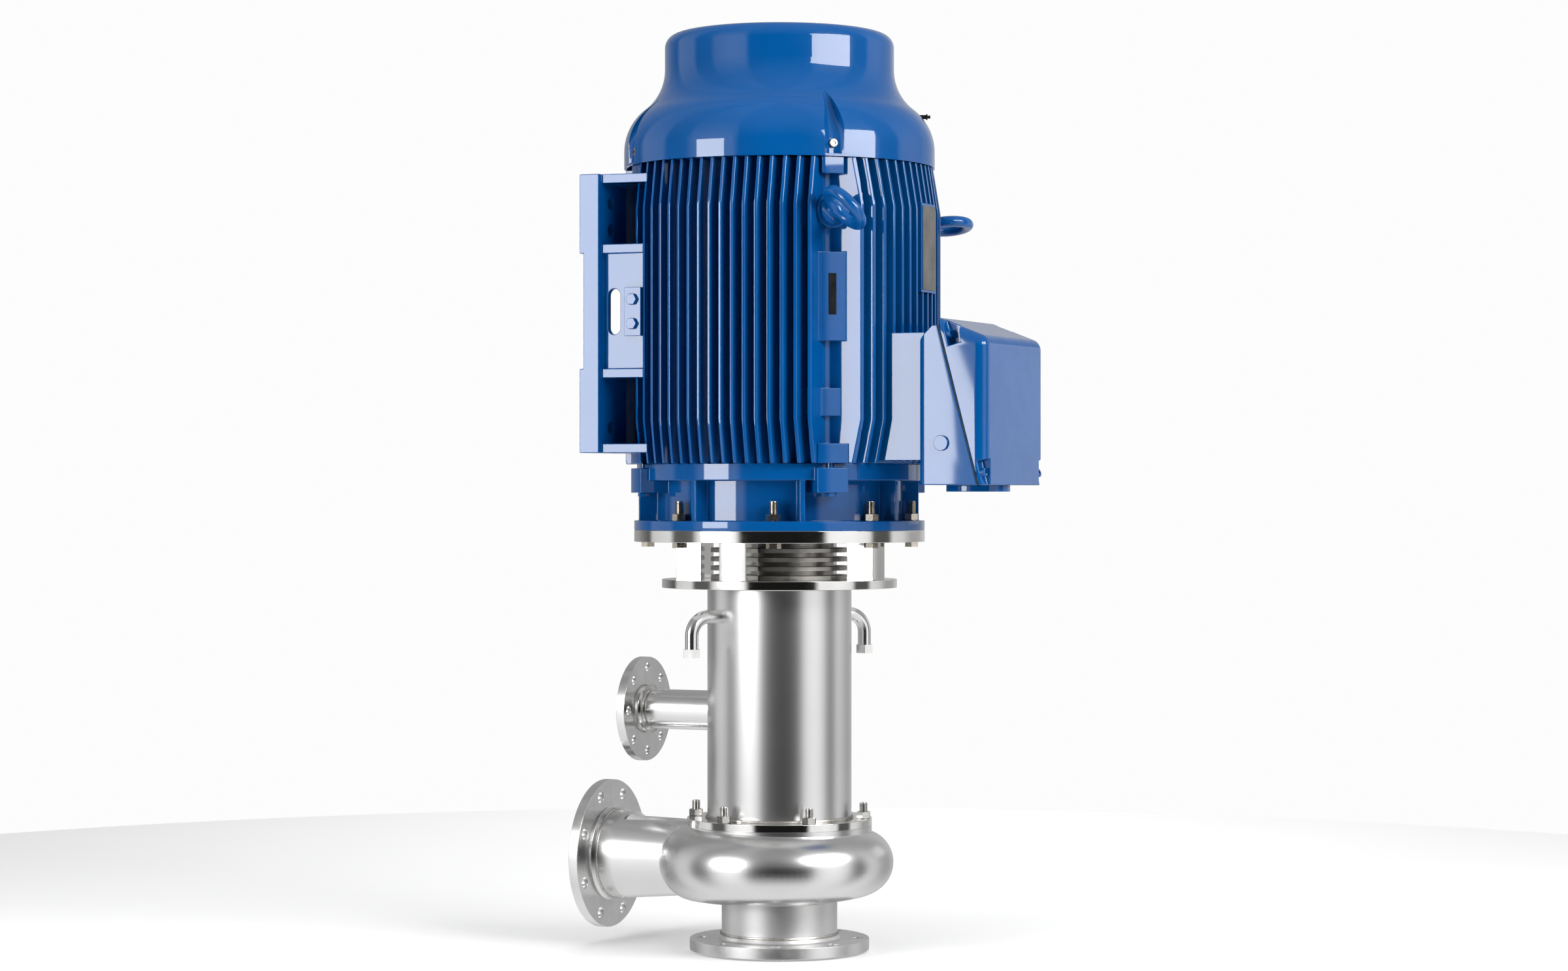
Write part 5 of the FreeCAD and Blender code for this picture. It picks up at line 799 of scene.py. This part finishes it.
def greaseNipple(size):
    # A stem with a collar, a waist and a round tip.
    stem, head, end = size["radius"], size["head"], size["reach"]
    bm = bmesh.new()
    profile = [(0, size["inner"]), (stem, size["inner"]), (stem, end - size["headStart"]),
               (head, end - size["headStart"]), (head, end - size["headEnd"])]
    profile += [(stem * share, end - back) for share, back in size["tip"]]
    lathed(bm, profile + [(0, end)], size["steps"])
    bmesh.ops.transform(bm, matrix=alongNode(outwards(size["angle"]), upAxis * size["height"]), verts=bm.verts)
    return bm


replaced("grease_nipple", greaseNipple(nipple))


# Walls that close the screw grooves in the fan cover's shoulder

fanCoverBell = {"bottom": lowest("fan_cover"), "skirtRadius": highest("fan_cover", "x"), "skirtTop": 1.510,
                "neckRadius": 0.217, "neckBottom": 1.666, "inset": 0.0003, "steps": 192, "arcSteps": 16}
screwGroove = {"count": 4, "first": 45, "reach": 0.307, "radius": 0.0237, "bottom": 1.4823, "bend": 1.520,
               "overlap": 0.001, "lean": 0.064, "rise": 0.084, "tip": 0.0037, "wall": 0.005, "steps": 96,
               "joinReach": 1e-5, "closeReach": 1e-6}


def bellOutline(size):
    # Skirt and neck joined by two equal arcs, closed along the shaft's axis.
    skirt = size["skirtRadius"] - size["inset"]
    neck = size["neckRadius"] - size["inset"]
    bottom = size["bottom"] + size["inset"]
    half = (size["neckBottom"] - size["skirtTop"]) / 2
    shift = (skirt - neck) / 2
    radius = (half ** 2 + shift ** 2) / (2 * shift)
    steps = size["arcSteps"]
    turns = [math.asin(half / radius) * step / steps for step in range(steps + 1)]
    outline = [(0, bottom), (skirt, bottom)]
    outline += [(skirt - radius + radius * math.cos(turn), size["skirtTop"] + radius * math.sin(turn))
                for turn in turns]
    outline += [(neck + radius - radius * math.cos(turn), size["neckBottom"] - radius * math.sin(turn))
                for turn in reversed(turns[:-1])]
    return outline + [(0, size["neckBottom"])]


def grooveBody(size, extra, bottom):
    # An upright rod that leans inwards above the bend and tapers out.
    radius = size["radius"] + extra
    rod = bmesh.new()
    prism(rod, size["steps"], (radius, radius), bottom, size["bend"] + size["overlap"],
          Matrix.Translation((size["reach"], 0, 0)))
    lean = Vector((-size["lean"], 0, size["rise"]))
    middle = Vector((size["reach"], 0, size["bend"])) + lean / 2
    taper = bmesh.new()
    prism(taper, size["steps"], (radius, size["tip"] + extra), -lean.length / 2, lean.length / 2,
          alongNode(lean, middle))
    return carved(rod, taper, "UNION")


def grooveWalls(bell, size):
    outside = bmesh.new()
    lathed(outside, bellOutline(bell), bell["steps"])
    block = carved(grooveBody(size, size["wall"], bell["bottom"]), outside, "INTERSECT")
    wall = carved(block, grooveBody(size, 0, size["bottom"]), "DIFFERENCE")
    bmesh.ops.remove_doubles(wall, verts=wall.verts, dist=size["joinReach"])
    bmesh.ops.dissolve_degenerate(wall, edges=wall.edges, dist=size["closeReach"])
    return ringOf(wall, size["count"], 0, size["first"])


piece = dress(grooveWalls(fanCoverBell, screwGroove), "fanCoverGrooveWalls", "fan_cover")
print("groove walls", len(piece.data.polygons))


# Weld beads where pipes meet flanges and shells

upright = Matrix.Identity(4)
sideways = Matrix.Rotation(math.pi / 2, 4, "Y")

beadForm = {"steps": 8, "fewestRipples": 36, "rippleLength": 0.0035, "hollow": 0.8}

welds = {  # radius of the seam and of the bead on it, in metres
    "suctionPipeWeld": {"node": "suction_flange", "seam": 0.1103, "bead": 0.0028, "turn": upright,
                        "centre": (0, 0, highest("suction_flange") + 0.0005)},
    "suctionSeamWeld": {"node": "volute_casing", "seam": 0.1095, "bead": 0.0024, "turn": upright,
                        "centre": (0, 0, highest("suction_pipe"))},
    "columnFootWeld": {"node": "column_lower_flange", "seam": 0.1372, "bead": 0.0032, "turn": upright,
                       "centre": (0, 0, highest("column_lower_flange") + 0.0015)},
    "columnHeadWeld": {"node": "lantern_plate", "seam": 0.1370, "bead": 0.0026, "turn": upright,
                       "centre": (0, 0, highest("column_pipe") - 0.001)},
    "dischargePipeWeld": {"node": "discharge_flange", "seam": 0.0850, "bead": 0.0026, "turn": sideways,
                          "centre": (highest("discharge_flange", "x"), 0, dischargeHeight)},
    "branchPipeWeld": {"node": "branch_flange", "seam": 0.0450, "bead": 0.0020, "turn": sideways,
                       "centre": (highest("branch_flange", "x"), 0, branchHeight)},
}


def weldBead(name, weld):
    # A round bead with the ripples that a torch leaves.
    seam = weld["seam"]
    ripples = max(beadForm["fewestRipples"], int(2 * math.pi * seam / beadForm["rippleLength"]))
    bm = bmesh.new()
    onSeam = Matrix.Translation((seam, 0, 0)) @ Matrix.Rotation(math.pi / 2, 4, "X")
    bmesh.ops.create_circle(bm, cap_ends=False, segments=beadForm["steps"], radius=weld["bead"], matrix=onSeam)
    bmesh.ops.spin(bm, geom=bm.verts[:] + bm.edges[:], cent=(0, 0, 0), axis=upAxis, angle=2 * math.pi,
                   steps=ripples * 2, use_merge=True, use_duplicate=False)
    for vert in bm.verts:
        step = round(math.atan2(vert.co.y, vert.co.x) / (math.pi / ripples))
        middle = Vector((vert.co.x, vert.co.y, 0)).normalized() * seam
        vert.co = middle + (vert.co - middle) * (1.0 if step % 2 else beadForm["hollow"])
    bmesh.ops.recalc_face_normals(bm, faces=bm.faces)
    bmesh.ops.transform(bm, matrix=Matrix.Translation(weld["centre"]) @ weld["turn"], verts=bm.verts)
    dress(bm, name, weld["node"], finishes["weldBead"])


for name, weld in welds.items():
    weldBead(name, weld)
print("welds made")


# Stage and studio light

floorPaper = {"radius": 3.0, "steps": 96, "drop": 0.0005, "dark": (0.91, 0.91, 0.91),
              "pale": (0.93, 0.93, 0.93), "toneScale": 0.6, "rough": 0.9, "specular": 0.1, "glow": 0.1}


def placeFloor(size):
    bm = bmesh.new()
    bmesh.ops.create_circle(bm, cap_ends=True, segments=size["steps"], radius=size["radius"])
    mesh = bpy.data.meshes.new("floor")
    bm.to_mesh(mesh)
    bm.free()
    material, tree, shader, place = newFinish("floorPaper")
    tint(tree, shader, noise(tree, place, size["toneScale"], detail=2.0), size["dark"], size["pale"])
    shader.inputs["Emission Color"].default_value = (1, 1, 1, 1)
    shader.inputs["Emission Strength"].default_value = size["glow"]
    shader.inputs["Roughness"].default_value = size["rough"]
    shader.inputs["Specular IOR Level"].default_value = size["specular"]
    mesh.materials.append(material)
    floor = bpy.data.objects.new("floor", mesh)
    floor.location.z = -size["drop"]
    floor.visible_glossy = False
    bpy.context.scene.collection.objects.link(floor)


# How bright the room is round the pump, from the camera's side (0) to behind the pump (180 degrees)
# and from there to the left (negative) or to the right
roomBands = [
    (-180, 0.4), (-150, 0.35), (-125, 0.08), (-119, 0.7), (-96, 0.85), (-91, 0.12), (-73, 0.12), (-67, 0.85),
    (-50, 1.2), (-35, 1.15), (-30, 0.01), (34, 0.01), (39, 1.05), (60, 1.1), (75, 0.9), (80, 0.1), (96, 0.1),
    (101, 0.85), (113, 0.75), (127, 0.4), (144, 0.4), (160, 0.6), (180, 0.5),
]

# Above and below those bands, between two heights of the direction: how much of the tone is mixed in
roomLayers = {
    "overhead": {"tone": (0.35, 0.35, 0.35), "share": (0.0, 0.85), "heights": (0.15, 0.65)},
    "below": {"tone": (0.9, 0.9, 0.9), "share": (0.95, 0.0), "heights": (-0.75, -0.22)},
}
backdrop = (0.98, 0.98, 0.98)


def lightRoom():
    world = bpy.data.worlds.new("studio")
    world.use_nodes = True
    bpy.context.scene.world = world
    tree = world.node_tree
    direction = addNode(tree, "ShaderNodeTexCoord").outputs["Generated"]
    angle = addNode(tree, "ShaderNodeMath", operation="ARCTAN2")
    for socket, axis in zip(angle.inputs, (aroundPump(90, 1, 0), aroundPump(0, 1, 0))):
        side = addNode(tree, "ShaderNodeVectorMath", operation="DOT_PRODUCT")
        side.inputs[1].default_value = axis
        tree.links.new(direction, side.inputs[0])
        tree.links.new(side.outputs["Value"], socket)
    ramp = addNode(tree, "ShaderNodeValToRGB")
    stops = ramp.color_ramp.elements
    while len(stops) < len(roomBands):
        stops.new(0.5)
    for stop, (degrees, bright) in zip(stops, roomBands):
        stop.position = (degrees + 180) / 360
        stop.color = (bright, bright, bright, 1)
    tree.links.new(spread(tree, angle.outputs[0], 0, 1, (-math.pi, math.pi)), ramp.inputs[0])
    height = addNode(tree, "ShaderNodeSeparateXYZ")
    tree.links.new(direction, height.inputs[0])
    colour = ramp.outputs["Color"]
    for layer in roomLayers.values():
        share = spread(tree, height.outputs["Z"], *layer["share"], layer["heights"])
        colour = blended(tree, share, colour, layer["tone"])
    seen = addNode(tree, "ShaderNodeLightPath").outputs["Is Camera Ray"]
    tree.links.new(blended(tree, seen, colour, backdrop), tree.nodes["Background"].inputs["Color"])


softboxes = {  # azimuth from the camera in degrees, then metres and watts
    "rightBox": {"azimuth": 52, "distance": 3.4, "height": 2.3, "wide": 2.6, "tall": 1.1, "power": 104,
                 "mirrored": True},
    "leftBox": {"azimuth": -50, "distance": 3.5, "height": 1.32, "wide": 1.3, "tall": 1.25, "power": 56,
                "mirrored": True},
    "backBox": {"azimuth": 175, "distance": 4.0, "height": 2.4, "wide": 2.0, "tall": 2.0, "power": 40,
                "mirrored": False},
    "lidBox": {"azimuth": 130, "distance": 3.6, "height": 1.3, "wide": 1.3, "tall": 1.0, "power": 1.8,
               "mirrored": True},
    "topBox": {"azimuth": 0, "distance": 0.6, "height": 4.2, "wide": 2.6, "tall": 2.6, "power": 60,
               "mirrored": False},
}
lightTarget = Vector((0, 0, 1.0))


def placeSoftboxes():
    for name, box in softboxes.items():
        light = bpy.data.lights.new(name, "AREA")
        light.shape = "RECTANGLE"
        light.size = box["wide"]
        light.size_y = box["tall"]
        light.energy = box["power"]
        lamp = bpy.data.objects.new(name, light)
        lamp.visible_glossy = box["mirrored"]
        lamp.location = aroundPump(box["azimuth"], box["distance"], box["height"])
        lamp.rotation_euler = (lightTarget - lamp.location).to_track_quat("-Z", "Y").to_euler()
        bpy.context.scene.collection.objects.link(lamp)


placeFloor(floorPaper)
lightRoom()
placeSoftboxes()
bpy.context.scene.view_settings.view_transform = "Standard"
print("studio lit")
